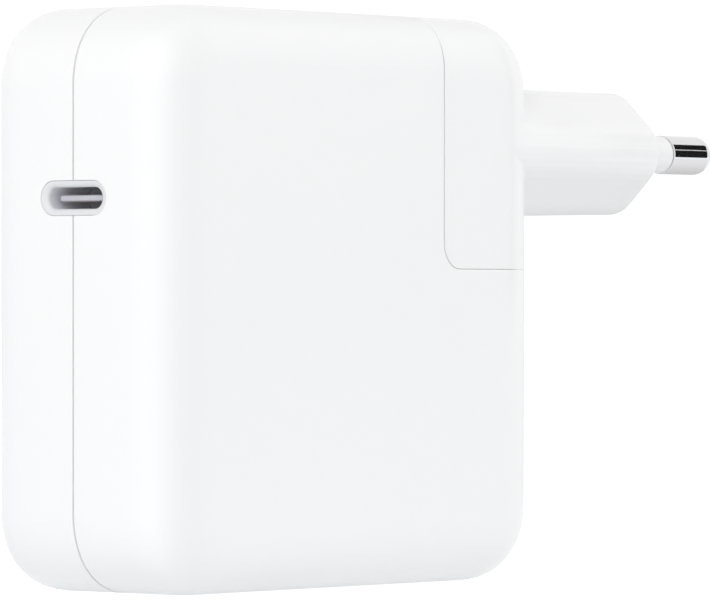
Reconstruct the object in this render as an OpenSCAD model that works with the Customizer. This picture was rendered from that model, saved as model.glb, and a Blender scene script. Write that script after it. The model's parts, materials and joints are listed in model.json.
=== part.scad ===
// Laptop power adapter: a rounded square housing with one oval charging port
// and a slide-on corner plug head with two round pins.
// X runs from the port side to the plug side, Y from the front face to the
// back face and Z up. The origin is the middle of the narrow face it stands on.

/* [Body] */
// Width of the body, from the port side to the plug side
body_w = 67; // [66:1:80]
// Height of the body
body_h = 67; // [66:1:80]
// Thickness, from the front face to the back face
body_t = 29; // [28:0.5:34]
// Corner radius in the front view
corner_r = 9; // [7.5:0.5:11]
// Radius of the edge that runs round the front and back faces
edge_r = 6; // [4:0.5:6.5]
// Wall thickness of the housing
wall = 2.2; // [1.8:0.1:2.6]
// Width of the parting groove between the two half shells
seam_w = 0.16; // [0.1:0.02:0.3]
// Depth of the parting groove
seam_depth = 0.3; // [0.2:0.1:0.6]
// Height of the tongue that keys the half shells together
lip_h = 1.6; // [1:0.2:2.4]

/* [Plug head] */
// Width of the plug head, from its seam to the plug side
head_w = 18.7; // [18:0.1:22]
// Height of the plug head, from its seam to the top
head_h = 29.9; // [28:0.1:30]
// Radius of the inner corner of the plug head
head_corner_r = 3; // [2:0.5:5]
// Gap between the plug head and the body
head_gap = 0.15; // [0.1:0.05:0.3]
// Thickness of the cover that closes the plug head
cover_t = 2; // [1.5:0.25:3]
// Thickness of the floor of the plug head, which holds the slot
floor_t = 3.6; // [3.4:0.2:4.6]

/* [Plug] */
// Distance from the top of the body down to the plug's centre line
plug_drop = 15.5; // [14:0.5:17]
// Length of the plug block beyond the plug side
block_len = 23.2; // [18:0.2:26]
// Width of the plug block, across the tips of its hexagon
block_w = 28.8; // [27:0.2:28.8]
// Height of the plug block, between its flats
block_h = 15; // [13:0.5:16]
// Radius of the six long edges of the plug block
block_round = 4.5; // [3:0.5:5]
// Angle of the slanting sides of the plug block
block_slant = 44; // [42:1:52]
// Diameter of a plug pin
pin_d = 4.8; // [4:0.1:5]
// Spacing of the plug pins
pin_pitch = 19; // [18:0.5:19.5]
// Length of a plug pin beyond the plug block
pin_len = 15; // [14:0.5:20]
// Length of the insulating sleeve beyond the plug block
sleeve_len = 6; // [5:0.5:10]
// Wall of the insulating sleeve
sleeve_wall = 0.5; // [0.4:0.1:0.6]

/* [Inlet] */
// Spacing of the inlet pins
inlet_pitch = 8.6; // [8:0.2:9]
// Diameter of an inlet pin
inlet_pin_d = 2.4; // [2:0.1:2.6]
// Radius of each lobe of the plug head's nose
nose_r = 3.5; // [3.3:0.1:3.8]
// Length of the nose
nose_len = 8; // [6:0.5:9]
// Clearance round the nose and the inlet pins
slide_gap = 0.3; // [0.25:0.05:0.4]
// Wall of the inlet housing round the nose
inlet_wall = 1.2; // [1:0.1:1.5]
// Thickness of the flanges of the inlet housing and the locking stud
flange_t = 1.5; // [1.2:0.1:1.8]
// Diameter of the stem of the locking stud
stud_d = 4; // [3:0.5:5]
// Diameter of the head of the locking stud
stud_head_d = 7; // [6.5:0.5:8]
// Thickness of the head of the locking stud
stud_head_t = 1.2; // [1:0.1:1.4]
// Distance of the locking stud from the seam of the plug head
stud_x = 9; // [8:0.5:11]
// Thickness of the slotted steel plate in the plug head
plate_t = 0.8; // [0.6:0.1:1]

/* [Charging port] */
// Distance from the top of the body down to the middle of the port
port_drop = 22; // [18:0.5:24]
// Width of the oval cut in the housing
port_w = 10.2; // [9.8:0.1:10.5]
// Height of the oval cut in the housing
port_h = 4; // [3.9:0.1:4.6]
// Width of the metal shell of the receptacle
shell_w = 8.94; // [8.8:0.02:9]
// Height of the metal shell of the receptacle
shell_h = 3.2; // [3.1:0.05:3.3]
// Wall of the metal shell
shell_wall = 0.3; // [0.2:0.05:0.3]
// Length of the metal shell
shell_len = 9; // [8:0.5:10]
// Distance of the receptacle's mouth behind the port side
port_recess = 0.6; // [0.2:0.1:1]
// Thickness of the contact tongue
tongue_t = 0.7; // [0.6:0.05:0.8]
// Width of the contact tongue
tongue_w = 6.7; // [6.5:0.1:6.9]
// Number of contacts on each side of the tongue
contacts = 12; // [6:1:12]

/* [Electronics] */
// Thickness of the main circuit board
board_t = 1.6; // [1.2:0.2:2]
// Room behind the main board, from its back to the housing
board_back = 3.1; // [2.8:0.1:3.6]
// Gap between the board's edge and the housing
board_gap = 1; // [0.6:0.2:1.4]
// Thickness of a heat spreader
spreader_t = 0.8; // [0.6:0.1:1]
// Thickness of an insulating sheet
sheet_t = 0.4; // [0.3:0.1:0.5]
// Thickness of the thermal pad on the transformer
pad_t = 1; // [0.8:0.1:1.5]
// Share of the inside width that the transformer core takes
core_share = 0.38; // [0.34:0.01:0.4]
// Share of the height below the plug head that the core takes
core_rise = 0.66; // [0.55:0.01:0.68]
// Gap from the transformer core to the port side and to the bottom
core_gap = 3; // [2.5:0.1:3.5]
// Width of the column of parts between the core and the bulk capacitors
column_w = 5.6; // [5.4:0.1:6]
// Gap between the bulk capacitors and round them
bulk_gap = 1; // [0.8:0.1:1.2]
// Outer diameter of the choke's ring
choke_d = 15; // [12:0.5:15]
// Width of the suppression box capacitor
x_cap_w = 4.6; // [4:0.1:4.8]
// Length of the suppression box capacitor
x_cap_l = 12; // [10:0.5:12.5]
// Height of the suppression box capacitor
x_cap_h = 11; // [9:0.5:12]
// Thickness of the bridge rectifier
bridge_w = 3.6; // [3:0.1:4]
// Length of the bridge rectifier
bridge_l = 10; // [8:0.5:10]
// Height of the bridge rectifier
bridge_h = 8; // [6:0.5:9]
// Diameter of the suppression disc capacitor
y_cap_d = 8; // [6:0.5:8]
// Thickness of the suppression disc capacitor
y_cap_t = 3.6; // [3:0.1:4]
// Diameter of the fuse
fuse_d = 4.4; // [3.6:0.2:5]
// Length of the fuse
fuse_l = 7; // [6:0.5:8]
// Side of the output inductor
coil_w = 7; // [6:0.5:7.5]
// Height of the output inductor
coil_h = 5; // [3:0.5:6]
// Length of the receptacle's board
usb_board_l = 16; // [14:0.5:18]
// Height of an output capacitor
out_cap_h = 12; // [8:1:14]

/* [Hidden] */
$fn = 64;
eps = 0.01;
fit = 0.1;

// Housing
in_x = body_w / 2 - wall;
in_y = body_t / 2 - wall;
in_top = body_h - wall;
notch_x = body_w / 2 - head_w;
notch_z = body_h - head_h;
plug_z = body_h - plug_drop;
port_z = body_h - port_drop;
port_face = -body_w / 2;
reach = body_w + body_h;
lip_step = 0.2;
lip_root = 0.5;

// Plug head
head_x = notch_x + head_gap;
head_z = notch_z + head_gap;
head_floor = head_z + floor_t;
cover_wall = wall - 0.8;
cover_back = head_x + cover_t;
block_end = body_w / 2 + block_len;
link_t = 0.8;
link_x = cover_back + 3;
pin_root = link_x + link_t;
carrier_end = body_w / 2 - wall;
carrier_h = block_h - 4;
root_d = pin_d - 0.4;
sleeve_d = root_d;
neck_d = sleeve_d - 2 * sleeve_wall;
sleeve_in = 4;

// Inlet and locking stud
socket_bore_d = inlet_pin_d + 2 * slide_gap;
socket_d = socket_bore_d + 0.8;
inlet_depth = nose_len + slide_gap - head_gap;
inlet_base = 2.5;
inlet_back = notch_x - inlet_depth - inlet_base;
inlet_r = nose_r + slide_gap + inlet_wall;
flange_grow = 1.2;
stud_at = notch_x + stud_x;
stud_under = notch_z + head_gap + plate_t + slide_gap;
stud_top = stud_under + stud_head_t;
slot_w = stud_d + 2 * slide_gap;
channel_w = stud_head_d + 2 * slide_gap;
channel_top = stud_top + slide_gap;
plate_w = channel_w + 3;
slot_end = stud_at;

// Charging port
rim_back = port_face + wall;
rim_front = port_face + fit;
rim_t = 0.8;
rim_edge = 0.15;
receptacle_x = port_face + port_recess;
receptacle_base = 2.6;
usb_board_t = 1;
usb_board_z = port_z - shell_h / 2 - usb_board_t;
contact_pitch = 0.5;

// Circuit board and what stands on it
board_rear = in_y - board_back;
board_face = board_rear - board_t;
sheet_face = -in_y + spreader_t + sheet_t;
room = board_face - sheet_face;
tall = room - pad_t;
post_d = 4;
pip_d = 2;
post_in = 7;
board_notch_x = inlet_back - 1;
board_notch_z = notch_z - wall - board_gap;
core_w = 2 * in_x * core_share;
core_l = notch_z * core_rise;
tr_x = -in_x + core_gap + core_w / 2;
tr_z = wall + core_gap + core_l / 2;
gap_x = tr_x + core_w / 2;
column_x = gap_x + column_w / 2;
lead_out = 1;
bulk_x = in_x - 4 * bulk_gap;
bulk_l = bulk_x - gap_x - column_w - lead_out;
bulk_floor = wall + 2.4 * bulk_gap;
bulk_ceiling = notch_z - wall - flange_t - 2 * bulk_gap;
bulk_d = (bulk_ceiling - bulk_floor - bulk_gap) / 2;
bulk_z = bulk_floor + bulk_d / 2;
bulk_step = bulk_d + bulk_gap;
upper_x = board_notch_x;
coil_z = usb_board_z - 2.1 - coil_w / 2;

// ---------- outlines ----------

// Rectangle with round corners, centred on the origin
module round_rect(w, h, r) {
    square([w - 2 * r, h], center = true);
    square([w, h - 2 * r], center = true);
    for (x = [-1, 1], y = [-1, 1])
        translate([x * (w / 2 - r), y * (h / 2 - r)])
            circle(r);
}

// Oval with fully round ends
module stadium(w, h) {
    square([w - h, h], center = true);
    for (x = [-1, 1])
        translate([x * (w - h) / 2, 0])
            circle(h / 2);
}

// Two round lobes joined by a bar, the shape of the nose and its inlet
module figure_eight(r, bar) {
    square([inlet_pitch, bar], center = true);
    for (x = [-1, 1])
        translate([x * inlet_pitch / 2, 0])
            circle(r);
}

// Corner of the front view that the plug head takes up, grown by g
module head_region(g) {
    r = head_corner_r + g;
    translate([notch_x - g, notch_z - g]) {
        translate([r, r])
            circle(r);
        translate([r, 0])
            square(reach);
        translate([0, r])
            square(reach);
    }
}

// Front view of the whole adapter, set in from its outside
module front_view(inset) {
    translate([0, body_h / 2])
        round_rect(body_w - 2 * inset, body_h - 2 * inset, corner_r - inset);
}

// Front view of the body without the plug head, set in from its outside
module body_view(inset) {
    difference() {
        front_view(inset);
        head_region(inset);
    }
}

// Corner of the plug block's hexagon where the flat meets the slant,
// and the tip, both as centres of the rounding
function tip_y() = block_w / 2 - block_round;
function flat_z() = block_h / 2 - block_round;
function flat_y() = tip_y() - flat_z() / tan(block_slant);
function block_centres() = [
    [tip_y(), 0], [flat_y(), flat_z()], [-flat_y(), flat_z()],
    [-tip_y(), 0], [-flat_y(), -flat_z()], [flat_y(), -flat_z()]];

// Where the straight sides leave the roundings, going round the hexagon
function block_tangents(r) = [
    for (i = [0 : 5])
        let (c = block_centres(), a = c[i], b = c[(i + 1) % 6],
             d = (b - a) / norm(b - a), n = [d[1], -d[0]])
        each [a + r * n, b + r * n]];

// Section of the plug block, set in from its outside
module block_section(inset) {
    r = block_round - inset;
    polygon(block_tangents(r));
    for (c = block_centres())
        translate(c)
            circle(r);
}

// ---------- directions ----------

// Pushes an outline drawn in the front view from depth y0 to depth y1
module along_y(y0, y1) {
    translate([0, y1, 0])
        rotate([90, 0, 0])
            linear_extrude(y1 - y0)
                children();
}

// Pushes an outline drawn in the side view from x0 to x1
module along_x(x0, x1) {
    translate([x0, 0, 0])
        rotate([90, 0, 90])
            linear_extrude(x1 - x0)
                children();
}

// Stands a part on the front of the main board, its own Z pointing forward
module on_board(x, z) {
    translate([x, board_face, z])
        rotate([90, 0, 0])
            children();
}

// Fixes a part to the back of the main board, its own Z pointing backward
module behind_board(x, z) {
    translate([x, board_rear, z])
        rotate([-90, 0, 0])
            children();
}

// ---------- housing ----------

// Rounded outer form, set in from its outside, between depths y0 and y1
module rounded_slab(inset, y0, y1) {
    w = body_w - 2 * inset;
    h = body_h - 2 * inset;
    t = body_t - 2 * inset;
    r = corner_r - inset;
    e = edge_r - inset;
    translate([0, 0, body_h / 2]) {
        translate([0, 0, r - h / 2])
            linear_extrude(h - 2 * r)
                depth_band(w, t, e, y0, y1);
        translate([r - w / 2, 0, 0])
            rotate([0, 90, 0])
                linear_extrude(w - 2 * r)
                    depth_band(h, t, e, y0, y1);
        for (mx = [0, 1], mz = [0, 1])
            mirror([mx, 0, 0])
                mirror([0, 0, mz])
                    translate([w / 2 - r, 0, h / 2 - r])
                        rotate([-90, 0, 0])
                            rotate([0, 0, -90])
                                rotate_extrude(angle = 90)
                                    intersection() {
                                        depth_band(2 * r, t, e, y0, y1);
                                        translate([0, -t])
                                            square([2 * r, 2 * t]);
                                    }
    }
}

// Section through the thickness with its rounded edges, cut at y0 and y1
module depth_band(w, t, e, y0, y1) {
    intersection() {
        round_rect(w, t, e);
        translate([-w, y0])
            square([2 * w, y1 - y0]);
    }
}

// One half of the housing between depths y0 and y1, open at the middle
module half_shell(y0, y1) {
    difference() {
        rounded_slab(0, y0, y1);
        along_y(-body_t, body_t)
            head_region(0);
        difference() {
            rounded_slab(wall, y0, y1);
            along_y(-body_t, body_t)
                head_region(wall);
        }
        along_y(-seam_w / 2, seam_w / 2)
            difference() {
                front_view(-1);
                body_view(seam_depth);
            }
    }
}

// Ring that keys the two half shells, of the given outer and inner inset
module lip_ring(outer, inner, y0, y1) {
    along_y(y0, y1)
        difference() {
            body_view(outer);
            body_view(inner);
        }
}

// Openings that both half shells share
module shared_openings() {
    port_cut();
    inlet_cut();
    stud_cut();
}

module port_cut() {
    along_x(port_face - 1, rim_back + wall)
        translate([0, port_z])
            stadium(port_w, port_h);
}

module inlet_cut() {
    along_x(notch_x - wall - 1, notch_x + 1)
        translate([0, plug_z])
            figure_eight(inlet_r + fit, 2 * (inlet_r + fit) - 2);
}

module stud_cut() {
    translate([stud_at, 0, notch_z - wall - 1])
        cylinder(d = stud_d + 2 * fit, h = wall + 2);
}

// Places of the posts that carry the main board
function post_places() = [
    [-in_x + post_in, wall + post_in], [in_x - post_in, wall + post_in],
    [-in_x + post_in, in_top - post_in],
    [in_x - post_in, notch_z - wall - 4]];

module front_shell() {
    color("white")
        difference() {
            union() {
                half_shell(-body_t / 2, 0);
                lip_ring(wall / 2 + fit, wall - lip_step, -lip_root, lip_h);
            }
            shared_openings();
        }
}

module back_shell() {
    color("white")
        difference() {
            union() {
                half_shell(0, body_t / 2);
                for (p = post_places())
                    board_post(p);
            }
            lip_ring(wall / 2, wall + 1, -1, lip_h + fit);
            shared_openings();
        }
}

// Post on the back shell with a pip that enters a hole in the main board
module board_post(place) {
    translate([place[0], 0, place[1]])
        rotate([-90, 0, 0]) {
            translate([0, 0, board_rear])
                cylinder(d = post_d, h = board_back + wall / 2);
            translate([0, 0, board_face + 0.4])
                cylinder(d = pip_d, h = board_t);
        }
}

// ---------- charging port ----------

module port_rim() {
    color("lavender")
        difference() {
            union() {
                along_x(rim_front, rim_back + rim_t)
                    translate([0, port_z])
                        stadium(port_w - 2 * fit, port_h - 2 * fit);
                along_x(rim_back, rim_back + rim_t)
                    translate([0, port_z])
                        stadium(port_w + 2, port_h + 2);
            }
            along_x(receptacle_x, rim_back + rim_t + 1)
                translate([0, port_z])
                    stadium(shell_w, shell_h);
            rim_funnel();
        }
}

// Opening of the rim, which narrows down to the mouth of the receptacle
module rim_funnel() {
    outer = port_h / 2 - fit - rim_edge;
    inner = shell_h / 2 - shell_wall;
    slope = (outer - inner) / (receptacle_x - rim_front);
    x0 = rim_front - 1;
    x1 = receptacle_x + 0.2;
    r0 = outer + slope * (rim_front - x0);
    r1 = outer - slope * (x1 - rim_front);
    half = (port_w - port_h) / 2;
    for (s = [-1, 1])
        translate([x0, s * half, port_z])
            rotate([0, 90, 0])
                cylinder(r1 = r0, r2 = r1, h = x1 - x0);
    translate([0, half, port_z])
        rotate([90, 0, 0])
            linear_extrude(2 * half)
                polygon([[x0, -r0], [x1, -r1], [x1, r1], [x0, r0]]);
}

module usb_c_shell() {
    color("silver")
        along_x(receptacle_x, receptacle_x + shell_len)
            translate([0, port_z])
                difference() {
                    stadium(shell_w, shell_h);
                    stadium(shell_w - 2 * shell_wall, shell_h - 2 * shell_wall);
                }
}

module usb_c_tongue() {
    color("dimgray") {
        along_x(receptacle_x + shell_len - receptacle_base, receptacle_x + shell_len)
            translate([0, port_z])
                stadium(shell_w - 2 * shell_wall, shell_h - 2 * shell_wall);
        along_x(receptacle_x + 0.8, receptacle_x + shell_len - receptacle_base + eps)
            translate([0, port_z])
                round_rect(tongue_w, tongue_t, 0.2);
    }
}

module usb_c_contacts() {
    color("gold")
        for (i = [0 : contacts - 1], side = [-1, 1])
            translate([receptacle_x + 1.2,
                       (i - (contacts - 1) / 2) * contact_pitch,
                       port_z + side * (tongue_t / 2 + 0.05)])
                translate([0, -0.125, -0.05])
                    cube([shell_len - receptacle_base - 1.2, 0.25, 0.1]);
}

module usb_board() {
    color("seagreen")
        translate([receptacle_x + 2.4, -shell_w / 2 - 2, usb_board_z])
            cube([usb_board_l, shell_w / 2 + 2 + board_face, usb_board_t]);
}

// ---------- boards, spreaders and sheets ----------

module main_board() {
    color("seagreen")
        difference() {
            along_y(board_face, board_rear)
                difference() {
                    body_view(wall + board_gap);
                    translate([board_notch_x, board_notch_z])
                        square(reach);
                }
            for (p = post_places())
                translate([p[0], board_face - 1, p[1]])
                    rotate([-90, 0, 0])
                        cylinder(d = pip_d + 2 * fit, h = board_t + 2);
        }
}

module front_heat_spreader() {
    color("lightgray")
        along_y(-in_y, -in_y + spreader_t)
            body_view(edge_r + fit);
}

module front_insulator() {
    color("#2b2b2b")
        along_y(-in_y + spreader_t, sheet_face)
            body_view(edge_r - 0.6);
}

// Outline of a back plate with clearance holes for the board's posts
module back_plate_view(inset) {
    difference() {
        body_view(inset);
        for (p = post_places())
            translate(p)
                circle(d = post_d + 1);
    }
}

module back_heat_spreader() {
    color("lightgray")
        along_y(in_y - spreader_t, in_y)
            back_plate_view(edge_r + fit);
}

module back_insulator() {
    color("#2b2b2b")
        along_y(in_y - spreader_t - sheet_t, in_y - spreader_t)
            back_plate_view(edge_r - 0.6);
}

module thermal_pad() {
    color("lightsteelblue")
        on_board(tr_x, tr_z)
            translate([0, 0, tall])
                linear_extrude(pad_t)
                    round_rect(core_w - 2 * pad_in, core_l - 2 * pad_in, 1);
}

// ---------- transformer ----------

leg_w = core_w / 4;
window_w = core_w / 4 - 0.5;
window_l = core_l - 2 * leg_w * 0.8;
core_h = tall * 0.66;
bobbin_wall = 0.8;
pad_in = 2;

// The core is a closed frame with a middle leg, on its side on the board
module transformer_core() {
    color("#3b3b3f")
        on_board(tr_x, tr_z)
            translate([0, 0, (tall - core_h) / 2])
                linear_extrude(core_h)
                    difference() {
                        square([core_w, core_l], center = true);
                        for (s = [-1, 1])
                            translate([s * (leg_w + window_w) / 2, 0])
                                square([window_w, window_l], center = true);
                    }
}

// Round-cornered tube that lies along the middle leg
module leg_tube(w, h, r, wi, hi, l) {
    translate([0, 0, tall / 2])
        rotate([90, 0, 0])
            linear_extrude(l, center = true)
                difference() {
                    round_rect(w, h, r);
                    square([wi, hi], center = true);
                }
}

module transformer_bobbin() {
    tube_w = leg_w + 2 * bobbin_wall;
    tube_h = core_h + 2 * bobbin_wall;
    flange_w = leg_w + 2 * window_w - 0.4;
    color("#1d1d1f")
        on_board(tr_x, tr_z) {
            leg_tube(tube_w, tube_h, 0.4, leg_w, core_h, window_l);
            for (s = [-1, 1])
                translate([0, s * (window_l - bobbin_wall) / 2, 0])
                    leg_tube(flange_w, tall, 1, leg_w, core_h, bobbin_wall);
        }
}

module transformer_winding() {
    color("gold")
        on_board(tr_x, tr_z)
            leg_tube(leg_w + 2 * window_w - 1, tall - 1.2, 2,
                     leg_w + 2 * bobbin_wall, core_h + 2 * bobbin_wall,
                     window_l - 2 * bobbin_wall);
}

// ---------- parts of the mains side ----------

choke_ring = choke_d / 5;
choke_h = choke_d * 0.4;
wire_t = 1;
choke_x = upper_x - fuse_d - wire_t - 0.6 - choke_h / 2;
choke_z = in_top - 3 - choke_d / 2;

// Places a part on the choke's axis, which lies along X above the board
module on_choke_axis() {
    on_board(choke_x, choke_z)
        translate([0, 0, choke_d / 2 + wire_t])
            rotate([0, 90, 0])
                children();
}

module choke_core() {
    color("#55605a")
        on_choke_axis()
            rotate_extrude()
                translate([choke_d / 2 - choke_ring, -choke_h / 2])
                    square([choke_ring, choke_h]);
}

module choke_windings() {
    color("#b5651d")
        on_choke_axis()
            for (a = [-65, 115])
                rotate([0, 0, a])
                    rotate_extrude(angle = 130)
                        difference() {
                            translate([choke_d / 2 - choke_ring - wire_t,
                                       -choke_h / 2 - wire_t])
                                square([choke_ring + 2 * wire_t,
                                        choke_h + 2 * wire_t]);
                            translate([choke_d / 2 - choke_ring, -choke_h / 2])
                                square([choke_ring, choke_h]);
                        }
}

// Two cans on their sides, each with a rolled groove and two leads
module bulk_capacitors() {
    groove = 0.5;
    color("#232a3a")
        for (i = [0, 1])
            translate([bulk_x, board_face - bulk_d / 2, bulk_z + i * bulk_step])
                rotate([0, -90, 0]) {
                    rotate_extrude()
                        difference() {
                            square([bulk_d / 2, bulk_l]);
                            translate([bulk_d / 2, bulk_l - 3])
                                circle(groove);
                        }
                    for (s = [-1, 1])
                        translate([s * 2.5, 0, bulk_l])
                            cylinder(d = 0.8, h = lead_out);
                    for (s = [-1, 1])
                        translate([s * 2.5 - 0.4, -0.4, bulk_l + lead_out - 0.4])
                            cube([0.8, bulk_d / 2 + 0.4, 0.8]);
                }
}

module x_capacitor() {
    color("khaki")
        on_board(column_x, bulk_floor + x_cap_l / 2)
            linear_extrude(x_cap_h)
                round_rect(x_cap_w, x_cap_l, 0.5);
}

module bridge_rectifier() {
    color("#202022")
        on_board(column_x, bulk_floor + x_cap_l + 1 + bridge_l / 2)
            difference() {
                linear_extrude(bridge_h)
                    round_rect(bridge_w, bridge_l, 0.3);
                translate([0, bridge_l / 2, bridge_h])
                    rotate([0, 0, 45])
                        cube([2, 2, 6], center = true);
            }
}

module fuse() {
    color("saddlebrown")
        on_board(upper_x - 0.2 - fuse_d / 2, in_top - 2.5 - fuse_l / 2)
            translate([0, 0, fuse_d / 2])
                rotate([90, 0, 0]) {
                    cylinder(d = fuse_d, h = fuse_l, center = true);
                    cylinder(d = 0.8, h = fuse_l + 2, center = true);
                    for (s = [-1, 1])
                        translate([-0.4, -fuse_d / 2, s * (fuse_l / 2 + 0.6) - 0.4])
                            cube([0.8, fuse_d / 2 + 0.4, 0.8]);
                }
}

module y_capacitor() {
    color("royalblue")
        on_board(choke_x - choke_h / 4,
                 choke_z - choke_d / 2 - wire_t - 0.5 - y_cap_d / 2)
            translate([0, 0, y_cap_d / 2 + 0.6])
                rotate([0, 90, 0]) {
                    cylinder(d = y_cap_d, h = y_cap_t, center = true);
                    translate([y_cap_d / 2, 0, 0])
                        cube([1.2, y_cap_d * 0.75, 0.8], center = true);
                }
}

module switch_transistor() {
    color("#1b1b1d")
        on_board(upper_x - 4, notch_z + 2)
            linear_extrude(2.4)
                round_rect(5.6, 7, 0.3);
}

// ---------- parts of the output side ----------

out_caps_x = -in_x + 2.5;
out_cap_gap = 0.6;
out_cap_d = (choke_x - choke_h / 2 - wire_t - 1.8 - out_caps_x - out_cap_gap) / 2;

module output_capacitors() {
    color("gainsboro")
        for (i = [0, 1])
            on_board(out_caps_x + out_cap_d / 2 + i * (out_cap_d + out_cap_gap),
                     in_top - 9.5) {
                cylinder(d = out_cap_d, h = out_cap_h);
                linear_extrude(1.2)
                    square(out_cap_d, center = true);
            }
}

module output_inductor() {
    color("#4a4a4e")
        on_board(-in_x + 8.5 + coil_w / 2, coil_z)
            linear_extrude(coil_h)
                round_rect(coil_w, coil_w, 1);
}

module controller_chip() {
    color("#1b1b1d")
        behind_board(-in_x + 16, port_z - 4)
            linear_extrude(1.5)
                square([5, 6], center = true);
}

module optocoupler() {
    color("#1b1b1d")
        on_board(-in_x + 5, coil_z) {
            translate([0, 0, 0.3])
                linear_extrude(3.2)
                    square([4.6, 4.4], center = true);
            for (x = [-1, 1], y = [-1, 1])
                translate([x * 1.27, y * 2.4, 0.9])
                    cube([0.5, 0.6, 1.8], center = true);
        }
}

// ---------- inlet and locking stud ----------

module inlet_housing() {
    color("white")
        difference() {
            union() {
                along_x(inlet_back, notch_x)
                    translate([0, plug_z])
                        figure_eight(inlet_r, 2 * inlet_r - 2);
                along_x(notch_x - wall - flange_t, notch_x - wall)
                    translate([0, plug_z])
                        figure_eight(inlet_r + flange_grow, 2 * inlet_r);
            }
            along_x(notch_x - inlet_depth, notch_x + 1)
                translate([0, plug_z])
                    figure_eight(nose_r + slide_gap, nose_bar() + 2 * slide_gap);
            for (s = [-1, 1])
                inlet_axis(s)
                    translate([0, 0, inlet_back - 1])
                        cylinder(d = inlet_pin_d, h = inlet_depth);
        }
}

function nose_bar() = 2 * nose_r - 1.4;

// Turns Z along X on the centre line of one inlet pin
module inlet_axis(side) {
    translate([0, side * inlet_pitch / 2, plug_z])
        rotate([0, 90, 0])
            children();
}

// Inlet pin with a flat tail that bends back to the main board
module inlet_pin(side, tail_x) {
    tip = notch_x - 1.2;
    color("silver") {
        inlet_axis(side)
            translate([0, 0, tail_x]) {
                cylinder(d = inlet_pin_d, h = tip - tail_x - 0.6);
                translate([0, 0, tip - tail_x - 0.6])
                    cylinder(d1 = inlet_pin_d, d2 = inlet_pin_d - 1.2, h = 0.6);
            }
        translate([tail_x, side * inlet_pitch / 2 - inlet_pin_d / 2, plug_z - 1])
            cube([0.8, board_face - side * inlet_pitch / 2 + inlet_pin_d / 2, 2]);
    }
}

module inlet_pin_front() {
    inlet_pin(-1, board_notch_x - 2.4);
}

module inlet_pin_back() {
    inlet_pin(1, board_notch_x - 0.9);
}

module locking_stud() {
    color("silver")
        translate([stud_at, 0, 0]) {
            translate([0, 0, notch_z - wall - flange_t])
                cylinder(d = stud_head_d, h = flange_t);
            translate([0, 0, notch_z - wall - eps])
                cylinder(d = stud_d, h = stud_under - notch_z + wall + 2 * eps);
            translate([0, 0, stud_under])
                cylinder(d = stud_head_d, h = stud_head_t - 0.3);
            translate([0, 0, stud_top - 0.3])
                cylinder(d1 = stud_head_d, d2 = stud_head_d - 0.6, h = 0.3);
        }
}

// ---------- plug head ----------

// Space of the plug head between x0 and the plug side, above z0, set in
module head_space(inset, x0, z0) {
    intersection() {
        rounded_slab(inset, -body_t / 2, body_t / 2);
        translate([x0, -body_t, z0])
            cube([body_w, 2 * body_t, body_h]);
    }
}

module plug_head_shell() {
    color("white")
        difference() {
            union() {
                intersection() {
                    rounded_slab(0, -body_t / 2, body_t / 2);
                    along_y(-body_t, body_t)
                        head_region(-head_gap);
                }
                along_x(body_w / 2 - edge_r - 1, block_end)
                    translate([0, plug_z])
                        block_section(0);
            }
            head_space(wall, head_x + 1, head_floor);
            cover_pocket();
            block_bores();
            slot_channel();
        }
}

// Pocket with a step at its back that the cover seats on
module cover_pocket() {
    intersection() {
        head_space(cover_wall, head_x - 1, head_floor);
        translate([head_x - 1, -body_t, 0])
            cube([cover_t + 1, 2 * body_t, body_h]);
    }
}

// Bores that the plug pins and their sleeves run through
module block_bores() {
    for (s = [-1, 1])
        pin_axis(s) {
            translate([0, 0, pin_root])
                cylinder(d = root_d, h = block_end);
            translate([0, 0, block_end - sleeve_in])
                cylinder(d = sleeve_d, h = 2 * sleeve_in);
        }
}

// Turns Z along X on the centre line of one plug pin
module pin_axis(side) {
    translate([0, side * pin_pitch / 2, plug_z])
        rotate([0, 90, 0])
            children();
}

// Channel in the floor of the plug head that runs over the locking stud
module slot_channel() {
    end = slot_end + slide_gap;
    translate([head_x - 1, -channel_w / 2, head_z])
        cube([end - head_x + 1, channel_w, channel_top - head_z]);
    translate([end, 0, head_z])
        cylinder(d = channel_w, h = channel_top - head_z);
    translate([head_x - 1, -plate_w / 2, head_z - 1])
        cube([end + channel_w / 2 + 1.5 - head_x + 1, plate_w, plate_t + 1]);
}

module slot_plate() {
    end = slot_end + slide_gap;
    color("silver")
        difference() {
            intersection() {
                translate([head_x, -plate_w / 2 + fit, head_z])
                    cube([end + channel_w / 2 + 1.5 - head_x, plate_w - 2 * fit,
                          plate_t]);
                along_y(-body_t, body_t)
                    head_region(-head_gap);
            }
            translate([head_x - 1, -slot_w / 2, head_z - 1])
                cube([slot_end - head_x + 1, slot_w, plate_t + 2]);
            translate([slot_end, 0, head_z - 1])
                cylinder(d = slot_w, h = plate_t + 2);
        }
}

module plug_head_cover() {
    color("white")
        difference() {
            union() {
                intersection() {
                    head_space(cover_wall + fit, head_x, head_floor + fit);
                    translate([head_x, -body_t, 0])
                        cube([cover_t, 2 * body_t, body_h]);
                }
                along_x(head_x - nose_len, head_x + eps)
                    translate([0, plug_z])
                        figure_eight(nose_r, nose_bar());
            }
            for (s = [-1, 1])
                inlet_axis(s)
                    translate([0, 0, head_x - nose_len - 1])
                        cylinder(d = socket_d, h = nose_len + cover_t + 2);
        }
}

module pin_carrier() {
    color("whitesmoke")
        difference() {
            intersection() {
                along_x(pin_root, carrier_end - fit)
                    translate([0, plug_z])
                        round_rect(body_t - 2 * wall - 2 * fit, carrier_h, 2);
                rounded_slab(wall + fit, -body_t / 2, body_t / 2);
            }
            for (s = [-1, 1])
                pin_axis(s)
                    translate([0, 0, pin_root - 1])
                        cylinder(d = root_d, h = carrier_end - pin_root + 2);
        }
}

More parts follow.
